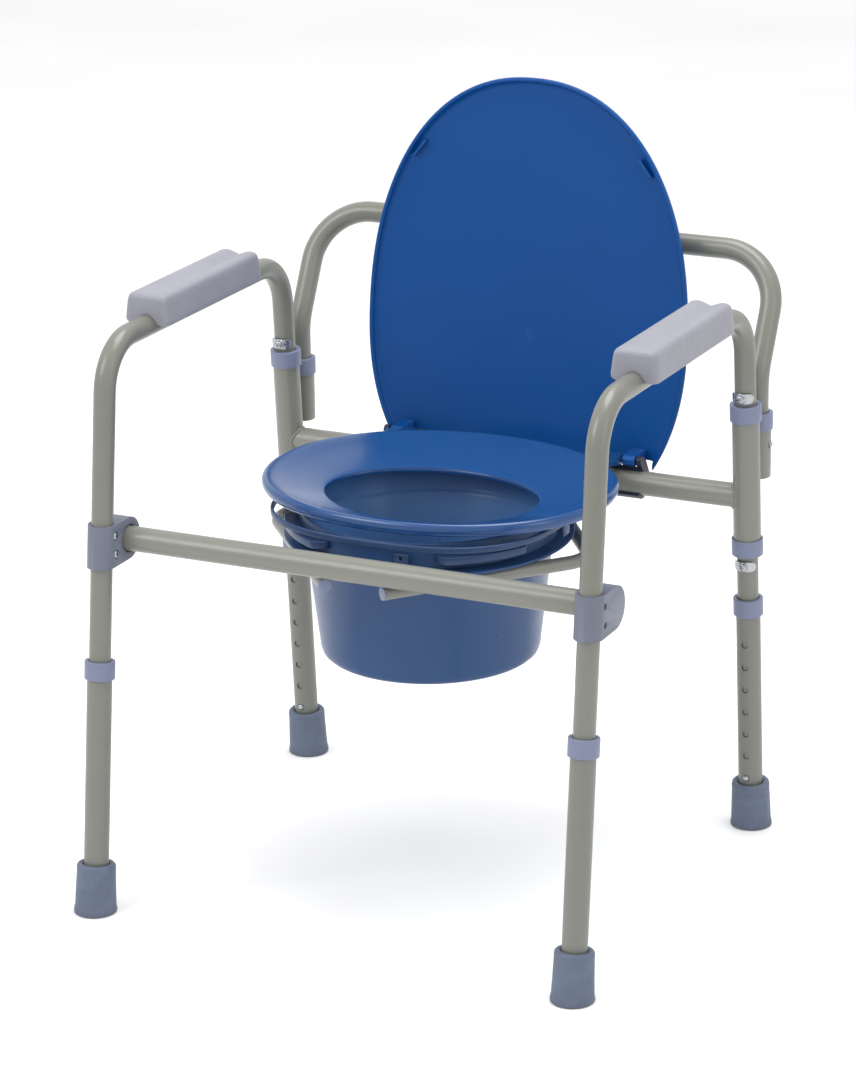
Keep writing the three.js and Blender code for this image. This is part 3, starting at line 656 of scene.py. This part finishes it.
def rear_supports():
    for hand, side in SIDES:
        low, high = (on_leg(REAR_LEG, side, z) for z in SLEEVE_Z)
        bar = tube(f"sleeve_tube_{hand}", [low, high], 0, SLEEVE_R, SLEEVE_R - BAR_WALL)
        add(bar, PAINT, "paint", "frame", f"rear_sleeve_{hand}")
        up = leg_up(REAR_LEG)
        collar(f"sleeve_collar_top_{hand}", high, up, SLEEVE_COLLAR, SLEEVE_R, "frame")
        collar(f"sleeve_collar_bottom_{hand}", low, -up, SLEEVE_COLLAR, SLEEVE_R, "frame")
        x = side * LEG_X
        foot, head = (vec(x, SOCKET_Y, z) for z in SOCKET_Z)
        outer = tube(f"socket_tube_{hand}", [foot, head], 0, SLEEVE_R, SLEEVE_R - BAR_WALL)
        spot = vec(x, SOCKET_Y, BACK_BUTTON_Z)
        combine(outer, "DIFFERENCE", rod("hole", spot, spot + Vector((side * 20, 0, 0)), HOLE_R))
        web = block("web", vec(x - 3, SOCKET_Y - 22, 393), vec(x + 3, SOCKET_Y - 13.2, 434))
        ends = [on_leg(REAR_LEG, side, 360), on_leg(REAR_LEG, side, 470)]
        combine(web, "DIFFERENCE", rod("sleeve", *ends, SLEEVE_R + GAP, 40))
        combine(outer, "UNION", web)
        add(outer, PAINT, "paint", "frame", f"backrest_socket_{hand}")
        collar(f"socket_collar_{hand}", head, Vector((0, 0, 1)), SOCKET_COLLAR, SLEEVE_R, "frame")
        add(weld(f"crossbar_weld_{hand}", side), PAINT, "paint", "frame")
    y, z, r = REAR_BAR
    ends = [vec(-REAR_BAR_X, y, z), vec(REAR_BAR_X, y, z)]
    bar = tube("rear_crossbar_tube", ends, 0, r, r - BAR_WALL)
    copes = [rod("cope", on_leg(REAR_LEG, side, z - 40), on_leg(REAR_LEG, side, z + 40),
                 SLEEVE_R + GAP, 48) for _, side in SIDES]
    combine(bar, "DIFFERENCE", *copes)
    add(bar, PAINT, "paint", "frame", "rear_crossbar")
    y, z, r = FRONT_BAR
    ends = [vec(-FRONT_BAR_X, y, z), vec(FRONT_BAR_X, y, z)]
    bar = tube("front_crossbar_tube", ends, 0, r, r - BAR_WALL)
    add(bar, PAINT, "paint", "frame", "front_crossbar")


def arc(cy, cz, radius, start, end, steps):
    """[y, z] points on an arc, angles in degrees."""
    out = []
    for i in range(steps + 1):
        t = math.radians(start + (end - start) * i / steps)
        out.append((cy + radius * math.cos(t), cz + radius * math.sin(t)))
    return out


def slab(name, profile, low, high):
    """A [y, z] profile pushed along X."""
    count = len(profile)
    verts = [vec(x, y, z) for x in (low, high) for y, z in profile]
    return loft(name, verts, 2, count)


def clamps():
    """The moulded clamps that join the front crossbar to the front legs."""
    y, z, r = FRONT_BAR
    half, tall = 14.6, 21.5
    for hand, side in SIDES:
        x = side * LEG_X
        low, high = on_leg(FRONT_LEG, side, z - 60), on_leg(FRONT_LEG, side, z + 60)
        body = rod(f"clamp_{hand}", low, high, half, 64)
        trim = block("trim", vec(x - 40, y - 60, z - tall), vec(x + 40, y + 60, z + tall))
        combine(body, "INTERSECT", trim)
        axis_y = leg_y(FRONT_LEG, z)
        profile = [(axis_y, z - tall)] + arc(y, z, tall, -90, 90, 32) + [(axis_y, z + tall)]
        combine(body, "UNION", slab("ear", profile, x - half, x + half))
        inner = x - side * (half + 2)
        outer = x + side * (half + 2)
        tools = [rod("bore", low, high, TUBE_R + GAP, 48),
                 rod("bar", vec(inner, y, z), vec(side * (FRONT_BAR_X + GAP), y, z), r + GAP, 48),
                 rod("mouth", vec(inner, y, z), vec(x - side * (half - 3), y, z), r + 1.7, 48)]
        for sz in CLAMP_SCREW_Z:
            nut = vec(x + side * 12.6, CLAMP_SCREW_Y, sz)
            head = vec(x - side * 13, CLAMP_SCREW_Y, sz)
            tools.append(rod("nut_pit", nut, vec(outer, CLAMP_SCREW_Y, sz), 3.8, 6))
            tools.append(rod("head_pit", vec(inner, CLAMP_SCREW_Y, sz), head, 4.5))
        combine(body, "DIFFERENCE", *tools)
        soften(body, 0.9, 3, 50)
        add(body, CLAMP, "clamp_plastic", "frame", f"front_clamp_{hand}", angle=32)


def screw(name, tip, head, size, node):
    """A pan-head screw with a cross recess."""
    shank, radius, height = size
    out = (head - tip).normalized()
    length = (head - tip).length
    top = length + height
    rim = 0.5
    profile = [(0, 0), (shank, 0.6), (shank, length), (radius - 0.2, length),
               (radius, length + 0.3)]
    for k in range(7):
        t = math.radians(k * 15)
        across, dome = radius * math.cos(t) * 0.98 + 0.02, (height - rim) * math.sin(t)
        profile.append((across, length + rim + dome))
    profile[-1] = (0, top)
    head_body = turned(name, profile, tip, out, 32)
    turn = Vector((0, 0, 1)).rotation_difference(out).to_matrix()
    tools = []
    for angle in (0, 90):
        w, d = (radius * 0.62, 0.42) if angle == 0 else (0.42, radius * 0.62)
        slot = block("slot", Vector((-w, -d, top - height * 0.62)), Vector((w, d, top + 1)))
        for vertex in slot.data.vertices:
            vertex.co = turn @ vertex.co + tip * 0.001
        tools.append(slot)
    combine(head_body, "DIFFERENCE", *tools)
    add(head_body, STEEL, "steel", "frame", node, angle=30)


def fasteners():
    """The clamps' screws, and the screws and saddle washers that stop the rear sleeves."""
    levels = ("low", "high")
    for hand, side in SIDES:
        x = side * LEG_X
        for level, z in zip(levels, CLAMP_SCREW_Z):
            tip, head = vec(x + side * 12, CLAMP_SCREW_Y, z), vec(x - side * 13.3, CLAMP_SCREW_Y, z)
            screw(f"clamp_screw_head_{level}_{hand}", tip, head, CLAMP_SCREW,
                  f"clamp_screw_{level}_{hand}")
        for level, z in zip(levels, STOP_Z):
            centre, face, up = on_leg(REAR_LEG, side, z), hole_face(REAR_LEG), leg_up(REAR_LEG)
            saddle(f"saddle_{level}_{hand}", centre, face, up, f"saddle_washer_{level}_{hand}")
            screw(f"stop_screw_head_{level}_{hand}", centre + face * 6, centre + face * 14.9,
                  STOP_SCREW, f"stop_screw_{level}_{hand}")


def saddle(name, centre, face, up, node):
    """A stamped saddle washer: a curved strip with round ends and a raised boss."""
    verts = []
    rows, count = 25, 12
    across = face.cross(up)
    for radius in (TUBE_R + 0.35, TUBE_R + 2.5):
        for i in range(rows):
            s = -1 + 2 * i / (rows - 1)
            angle = s * math.radians(62)
            tall = 5.4 * math.sqrt(max(0.02, 1 - abs(s) ** 5))
            spot = centre + (face * math.cos(angle) + across * math.sin(angle)) * radius
            for k in range(count):
                verts.append(spot + up * tall * (-1 + 2 * k / (count - 1)))
    faces = []
    layer = rows * count
    for r in range(rows - 1):
        for k in range(count - 1):
            a = r * count + k
            quad = (a, a + 1, a + count + 1, a + count)
            faces.append(quad)
            faces.append(tuple(q + layer for q in reversed(quad)))
    rim = [k for k in range(count)] + [r * count + count - 1 for r in range(1, rows)]
    rim += [(rows - 1) * count + k for k in reversed(range(count - 1))]
    rim += [r * count for r in reversed(range(1, rows - 1))]
    for a, b in zip(rim, rim[1:] + rim[:1]):
        faces.append((a, b, b + layer, a + layer))
    strip = make(name, verts, faces)
    soften(strip, 0.5, 2, 60)
    boss = [(2.6, 11.6), (6.2, 11.6), (5.2, 14.5), (2.6, 14.5), (2.6, 11.6)]
    combine(strip, "UNION", turned("boss", rounded(boss, 0.6), centre, face, 32))
    add(strip, STEEL, "steel", "frame", node)


# --- legs ------------------------------------------------------------------------------------
def legs():
    for end, leg in LEGS:
        for hand, side in SIDES:
            body = f"leg_{end}_{hand}"
            up, face = leg_up(leg), hole_face(leg)
            top = on_leg(leg, side, EXT_TOP_Z)
            ends = [on_leg(leg, side, EXT_END_Z), top]
            bar = tube(f"extension_tube_{end}_{hand}", ends, 0, EXT_R, EXT_R - 1)
            holes = []
            for i in range(HOLE_COUNT):
                centre = on_leg(leg, side, BUTTON_Z + i * HOLE_PITCH * up.z)
                holes.append(rod("hole", centre + face * 5, centre + face * 20, EXT_HOLE_R))
            combine(bar, "DIFFERENCE", *holes)
            add(bar, EXTENSION, "extension_paint", body, f"leg_extension_{end}_{hand}")
            collar(f"leg_collar_{end}_{hand}", top, up, LEG_COLLAR, EXT_R, body)
            foot(f"foot_{end}_{hand}", on_leg(leg, side, 0), up, body)
            button(f"leg_button_{end}_{hand}", on_leg(leg, side, BUTTON_Z), face, BUTTON_TIP,
                   f"leg_button_{end}_{hand}_pin")


def foot(node, centre, up, body):
    """A tapered rubber tip with a rolled mouth and a flared sole."""
    bore = EXT_R + GAP
    profile = [(0, -6), (21.5, -6), (21.9, 1.2), (21.6, 4), (21, 5.2), (20.9, 9), (19.8, 42),
               (19.9, 46), (19.4, 48.4), (18, 49.8), (16, 50), (14, 49.4), (bore, 48),
               (bore, 7), (0, 7)]
    tip = turned(node + "_rubber", profile, centre, up, 56)
    low, high = (centre.x - 40, centre.y - 40, -40), (centre.x + 40, centre.y + 40, 0)
    combine(tip, "DIFFERENCE", block("ground", Vector(low), Vector(high)))
    add(tip, FOOT, "foot_rubber", body, node, angle=50)


def button(node, centre, out, tip, body):
    """A flanged spring button with a domed tip."""
    radius, dome = 3.1, 1.6
    profile = [(0, 6.9), (4.4, 6.9), (4.4, 8), (radius, 8), (radius, tip - dome)]
    for k in range(1, 7):
        t = math.radians(15 * k)
        profile.append((radius * math.cos(t), tip - dome + dome * math.sin(t)))
    profile[-1] = (0, tip)
    add(turned(node + "_dome", profile, centre, out, 28), STEEL, "steel", body, node)


def mirrored(points):
    """The other half of a symmetric path."""
    return [Vector((-p.x, p.y, p.z)) for p in reversed(points)]


def backrest():
    foot, knee, top, lean = 390, 493, 606, 0.53
    rear = SOCKET_Y + (top - knee) * lean
    half = [vec(LEG_X, SOCKET_Y, foot), vec(LEG_X, SOCKET_Y, knee), vec(LEG_X, rear, top)]
    bar = tube("backrest_tube", half + mirrored(half), BACK_BEND, TUBE_R, TUBE_R - TUBE_WALL)
    holes = []
    for _, side in SIDES:
        spot = vec(side * LEG_X, SOCKET_Y, BACK_BUTTON_Z)
        holes.append(rod("hole", spot, spot + Vector((side * 20, 0, 0)), HOLE_R))
    combine(bar, "DIFFERENCE", *holes)
    add(bar, PAINT, "paint", "backrest", "backrest_bar")
    for hand, side in SIDES:
        button(f"backrest_button_{hand}", vec(side * LEG_X, SOCKET_Y, BACK_BUTTON_Z),
               Vector((side, 0, 0)), BACK_BUTTON_TIP, f"backrest_button_{hand}_pin")


# --- arm pads --------------------------------------------------------------------------------
def arm_height(y):
    """Height of the arm's axis at a place along it."""
    a, b = on_leg(FRONT_LEG, 1, ARM_Z + ARM_RISE), on_leg(REAR_LEG, 1, ARM_Z - ARM_RISE)
    return a.z + (b.z - a.z) * (y + CENTRE_Y - a.y) / (b.y - a.y)


def smooth_step(value, low, high):
    t = max(0, min(1, (value - low) / (high - low)))
    return t * t * (3 - 2 * t)


def pads():
    """Foam arm pads: soft-cornered blocks with a hollow along the top, slotted over the tube."""
    for hand, side in SIDES:
        rows = []
        count = 96
        # y, and how far the section is drawn in there
        stations = [(-100, 5.5), (-99.3, 3.2), (-97.6, 1.4), (-95, 0.4), (-92, 0)]
        stations += [(-88 + i * 8, 0) for i in range(24)]
        stations += [(99, 0.4), (101.5, 1.4), (103.2, 3.2), (104, 5.5)]
        for y, shrink in stations:
            bottom = arm_height(y) - 1
            top = bottom + PAD_HEIGHT
            dip = PAD_DIP * smooth_step(y, -72, 20)
            for i in range(count):
                t = 2 * math.pi * i / count
                c, s = math.cos(t), math.sin(t)
                px = math.copysign(abs(c) ** 0.3, c)
                pz = math.copysign(abs(s) ** 0.3, s)
                upper = (pz + 1) / 2
                wide = (PAD_HALF_X - 4.2 * upper ** 1.2) - shrink
                reach = (top - bottom) / 2 - shrink
                z = (top + bottom) / 2 + pz * reach
                groove = math.exp(-(px * wide / 7.5) ** 2) if s > 0 else 0
                crown = 0.9 * (1 - (px * 0.95) ** 2) if s > 0 else 0
                z += crown * 0.3 - dip * groove * max(0, pz) ** 4
                rows.append(vec(side * LEG_X + px * wide, y, z))
        pad = loft(f"arm_pad_foam_{hand}", rows, len(stations), count)
        x = side * LEG_X
        r = TUBE_R + GAP
        front, rear = -125, 130
        ends = [vec(x, y, arm_height(y)) for y in (front, rear)]
        channel = rod("channel", *ends, r, 48)
        slot = block("slot", vec(x - r, front, ARM_Z - 30), vec(x + r, rear, ARM_Z - 0.5))
        combine(pad, "DIFFERENCE", slot, channel)
        add(pad, PAD, "pad_foam", "frame", f"arm_pad_{hand}", angle=45)


# --- seat, lid and pail ----------------------------------------------------------------------
def power(value, n):
    """One coordinate of a superellipse."""
    return math.copysign(abs(value) ** (2 / n), value)


def spline(points, steps):
    """A smooth line through points, with steps spans between each pair."""
    out = []
    for i in range(len(points) - 1):
        p0, p1, p2 = points[max(0, i - 1)], points[i], points[i + 1]
        p3 = points[min(len(points) - 1, i + 2)]
        for k in range(steps):
            t = k / steps
            out.append(tuple(
                0.5 * (2 * b + (c - a) * t + (2 * a - 5 * b + 4 * c - d) * t * t
                       + (3 * b - a - 3 * c + d) * t ** 3)
                for a, b, c, d in zip(p0, p1, p2, p3)
            ))
    return out + [points[-1]]


def seat():
    """The seat ring, its section as [share of the way from hole to rim, z], with hinge arms."""
    top = [(0, 395.4), (0.001, 397.2), (0.008, 398.9), (0.03, 400), (0.3, 404), (0.6, 408.4),
           (0.8, 412.2), (0.88, 413.6), (0.93, 414), (0.965, 413), (0.99, 411), (1, 408.4),
           (0.995, 405.4), (0.978, 403), (0.955, 401.8), (0.93, 401.7)]
    under = [(0.915, 402.6), (0.9, 405.4), (0.87, 408), (0.6, 403.9), (0.3, 399.6), (0.05, 396),
             (0.02, 395.1)]
    section = spline(top, 3) + spline(under, 2)
    around = 160
    verts = []
    for s, z in section:
        for i in range(around):
            u = 2 * math.pi * i / around
            ox = SEAT_HALF[0] * power(math.cos(u), SEAT_POWER)
            oy = SEAT_Y + SEAT_HALF[1] * power(math.sin(u), SEAT_POWER)
            hx, hy = SEAT_HOLE_HALF[0] * math.cos(u), SEAT_HOLE_Y + SEAT_HOLE_HALF[1] * math.sin(u)
            verts.append(vec(hx + s * (ox - hx), hy + s * (oy - hy), z))
    ring = loft("seat_shell", verts, len(section), around, closed=True)
    add(ring, SEAT, "seat_plastic", "seat", "seat_ring", angle=60)
    for hand, side in SIDES:
        low, high = x_range(side, *SEAT_ARM_X)
        profile = [(132, 404.6), (146, 399.8), (PIN[0] - 2.4, PIN[1] - 5)]
        profile += arc(*PIN, KNUCKLE_R, -100, 70, 16) + [(172, 404.4), (160, 411), (140, 408.6)]
        arm = slab(f"seat_hinge_arm_{hand}", profile, low, high)
        soften(arm, 0.6)
        combine(arm, "DIFFERENCE", rod("pin", vec(low - 2, *PIN), vec(high + 2, *PIN), PIN_BORE))
        add(arm, SEAT, "seat_plastic", "seat")


def lid_outline(u):
    """The lid's rim: an oval with its narrower end up and its foot cut straight."""
    reach = LID_TOP - LID_WIDEST if math.sin(u) > 0 else LID_TAIL
    px = LID_HALF_X * power(math.cos(u), LID_POWER)
    pt = LID_WIDEST + reach * power(math.sin(u), LID_POWER)
    if pt >= LID_FOOT:
        return px, pt
    k = (LID_WIDEST - LID_FOOT) / (LID_WIDEST - pt)
    return px * k, LID_FOOT


def lid_point(x, t, depth):
    """A point x across, t up and depth behind the plane of the open lid's rim."""
    a = math.radians(LID_LEAN)
    return vec(x, LID_BASE[0] + t * math.sin(a) + depth * math.cos(a),
               LID_BASE[1] + t * math.cos(a) - depth * math.sin(a))


def lid():
    """A thin dished shell of [inset from the outline, depth] rows, with hinge arms and bumpers."""
    front = [(200, 10.8), (170, 10.9), (120, 10.6), (60, 9.6), (25, 7.9), (12, 6.6), (7.6, 5.6),
             (5.4, 3.6), (4.4, 1.2), (3.2, 0.15), (1.6, 0.1), (0.4, 0.9), (0, 2.6), (0.3, 5),
             (1.6, 7.6), (5, 9), (10, 9.7)]
    rear = [(25, 11), (60, 13), (120, 14), (170, 14.2), (200, 14.2)]
    rows = spline(front, 3) + spline(rear, 2)
    around = 160
    verts = []
    for inset, depth in rows:
        for i in range(around):
            px, pt = lid_outline(2 * math.pi * i / around)
            far = math.hypot(px, pt - LID_WIDEST)
            k = max(0.02, (far - inset) / far)
            verts.append(lid_point(px * k, LID_WIDEST + (pt - LID_WIDEST) * k, depth))
    shell = loft("lid_shell", verts, len(rows), around)
    cuts = []
    for _, side in SIDES:
        low, high = x_range(side, *LID_CUT_X)
        cuts.append(block("cut", vec(low, 195, 365), vec(high, 250, PIN[1] - 7)))
        cuts.append(block("cut", vec(low, 195, 366), vec(high, PIN[0] + 19.5, PIN[1] + 8)))
    combine(shell, "DIFFERENCE", *cuts)
    add(shell, LID, "seat_plastic", "lid", "lid", angle=45)
    for hand, side in SIDES:
        low, high = x_range(side, *LID_ARM_X)
        profile = arc(*PIN, KNUCKLE_R, 70, 290, 16)
        profile += [(PIN[0] + 27, PIN[1] - 5), (PIN[0] + 27, PIN[1] + 5)]
        arm = slab(f"lid_hinge_arm_{hand}", profile, low, high)
        soften(arm, 0.6)
        combine(arm, "DIFFERENCE", rod("pin", vec(low - 2, *PIN), vec(high + 2, *PIN), PIN_BORE))
        add(arm, LID, "seat_plastic", "lid")
        bumper = block(f"lid_bumper_{hand}", Vector((-1.4, -3.4, -11)), Vector((1.4, 3.4, 11)))
        turn = Matrix.Rotation(math.radians(-LID_LEAN), 3, "X")
        turn = turn @ Matrix.Rotation(math.radians(-side * 38), 3, "Y")
        for vertex in bumper.data.vertices:
            vertex.co = turn @ vertex.co + lid_point(side * 128, 272, 3.6) * 0.001
        soften(bumper, 0.9)
        add(bumper, LID, "seat_plastic", "lid")


def pail():
    """The bucket with its flange and neck, a lug in front, two grips and ears for the handle."""
    profile = [(0, 238.6), (96, 238.6), (98, 237.4), (101, 237), (107, 238), (110.4, 241),
               (112, 246), (112.8, 254), (126, 361.4), (127.6, 363.2), (145, 363.4), (146.7, 364),
               (147, 365.2), (146.6, 366.4), (145, 367), (133.2, 367.2), (131.4, 368.2),
               (PAIL_NECK_R, 370), (PAIL_NECK_R, 391.6), (130.6, 393.2), (129.8, 393.9),
               (128.8, 393.6), (128.6, 392), (128.6, 368), (126.6, 365), (123.8, 361),
               (110, 250), (108, 243.6), (103, 240.4), (96, 239.9), (0, 239.9)]
    bucket = turned("pail_shell", profile, vec(0, PAIL_Y, 0), Vector((0, 0, 1)), 144)
    lug_x, pit_z = 32, 379.4
    lug_y = PAIL_Y - math.sqrt(PAIL_NECK_R ** 2 - lug_x ** 2)
    lug = block("pail_lug", vec(lug_x - 7.5, lug_y - 5, pit_z - 9),
                vec(lug_x + 7.5, lug_y + 4, pit_z + 4))
    soften(lug, 1)
    pit = rod("pit", vec(lug_x, lug_y - 9, pit_z), vec(lug_x, lug_y - 2.5, pit_z), 2.1)
    combine(lug, "DIFFERENCE", pit)
    add(lug, PAIL_IN_SHADE, "pail_plastic", "frame")
    add(bucket, PAIL_WALL, "pail_plastic", "frame", "pail", angle=40)
    for name, start, end in (("pail_grip_left", 200, 247), ("pail_grip_right", 298, 340)):
        add(strip(name, 146, 130.5, 375.4, 383.4, start, end), PAIL_IN_SHADE, "pail_plastic", "frame")
    for hand, side in SIDES:
        low, high = x_range(side, 130.5, 138)
        ear = block(f"pail_ear_{hand}", vec(low, PAIL_Y - 9, BAIL_Z - 6.6),
                    vec(high, PAIL_Y + 9, BAIL_Z + 6.4))
        soften(ear, 1.2)
        bore = rod("pin", vec(side * 132.5, PAIL_Y, BAIL_Z), vec(side * 150, PAIL_Y, BAIL_Z), 3.4)
        combine(ear, "DIFFERENCE", bore)
        add(ear, PAIL_IN_SHADE, "pail_plastic", "frame")


def strip(name, outer, inner, low, high, start, end):
    """A band on the pail's neck between two angles, fading in at its ends."""
    steps = 40
    verts = []
    for i in range(steps + 1):
        t = math.radians(start + (end - start) * i / steps)
        fade = min(1, (i + 0.4) / 4, (steps - i + 0.4) / 4)
        r = inner + (outer - inner) * math.sqrt(fade)
        c, s = math.cos(t), math.sin(t)
        for radius, z in ((inner, low), (r, low), (r, high), (inner, high)):
            verts.append(vec(radius * c, PAIL_Y + radius * s, z))
    return soften(loft(name, verts, steps + 1, 4), 1.0, 3, 60)


def bail():
    """The pail's flat carrying handle, lying round its front, with its two pivot ears."""
    steps, half, low_z = 96, 1.6, BAIL_TOP - 6
    verts = []
    for i in range(steps + 1):
        u = math.pi + math.pi * i / steps
        for grow, z in ((-half, low_z), (half, low_z), (half, BAIL_TOP), (-half, BAIL_TOP)):
            px = (BAIL_HALF[0] + grow) * power(math.cos(u), BAIL_POWER)
            py = (BAIL_HALF[1] + grow) * power(math.sin(u), BAIL_POWER)
            verts.append(vec(px, py + PAIL_Y, z))
    band = soften(loft("bail_strip", verts, steps + 1, 4), 0.9, 3, 60)
    add(band, PAIL_IN_SHADE, "pail_plastic", "frame", "pail_handle", angle=50)
    for hand, side in SIDES:
        low, high = x_range(side, BAIL_HALF[0] - half, BAIL_HALF[0] + half)
        ear = block(f"bail_ear_{hand}", vec(low, PAIL_Y - 7, BAIL_Z - 6),
                    vec(high, PAIL_Y + 7, BAIL_TOP))
        soften(ear, 1.2)
        stub = turned("stub", [(0, 0), (3, 0), (3, 17.4), (0, 17.4)],
                      vec(side * 132.9, PAIL_Y, BAIL_Z), Vector((side, 0, 0)), 24)
        combine(ear, "UNION", stub)
        add(ear, PAIL_IN_SHADE, "pail_plastic", "frame")


def hoop():
    """The bent tube that carries the pail, open in front, with a plug in each end."""
    half = [vec(*HOOP_END), vec(*HOOP_SIDE), vec(*HOOP_REAR)]
    bar = tube("hoop_tube", half + mirrored(half), HOOP_BEND, HOOP_R, HOOP_R - BAR_WALL, 28)
    add(bar, PAINT, "paint", "frame", "pail_hoop")
    profile = [(0, -10), (4.4, -10), (4.4, GAP), (6.9, GAP), (HOOP_R, 1.4), (6.5, 2.1), (5, 2.4),
               (0, 2.4)]
    for hand, side in SIDES:
        end, bend = (Vector((side * p.x, p.y, p.z)) for p in half[:2])
        cap = turned(f"hoop_cap_{hand}", profile, end, (end - bend).normalized(), 40)
        add(cap, COLLAR, "collar_plastic", "frame", f"hoop_plug_{hand}")


camera()
studio()
side_frames()
rear_supports()
clamps()
fasteners()
legs()
backrest()
pads()
seat()
lid()
pail()
bail()
hoop()
keep("hoop_bracket", PAINT)
# the hinge clips get the seat blue painted dark as shade
for hand, _ in SIDES:
    keep(f"hinge_clip_{hand}", SHADED_CLIP_BLUE)
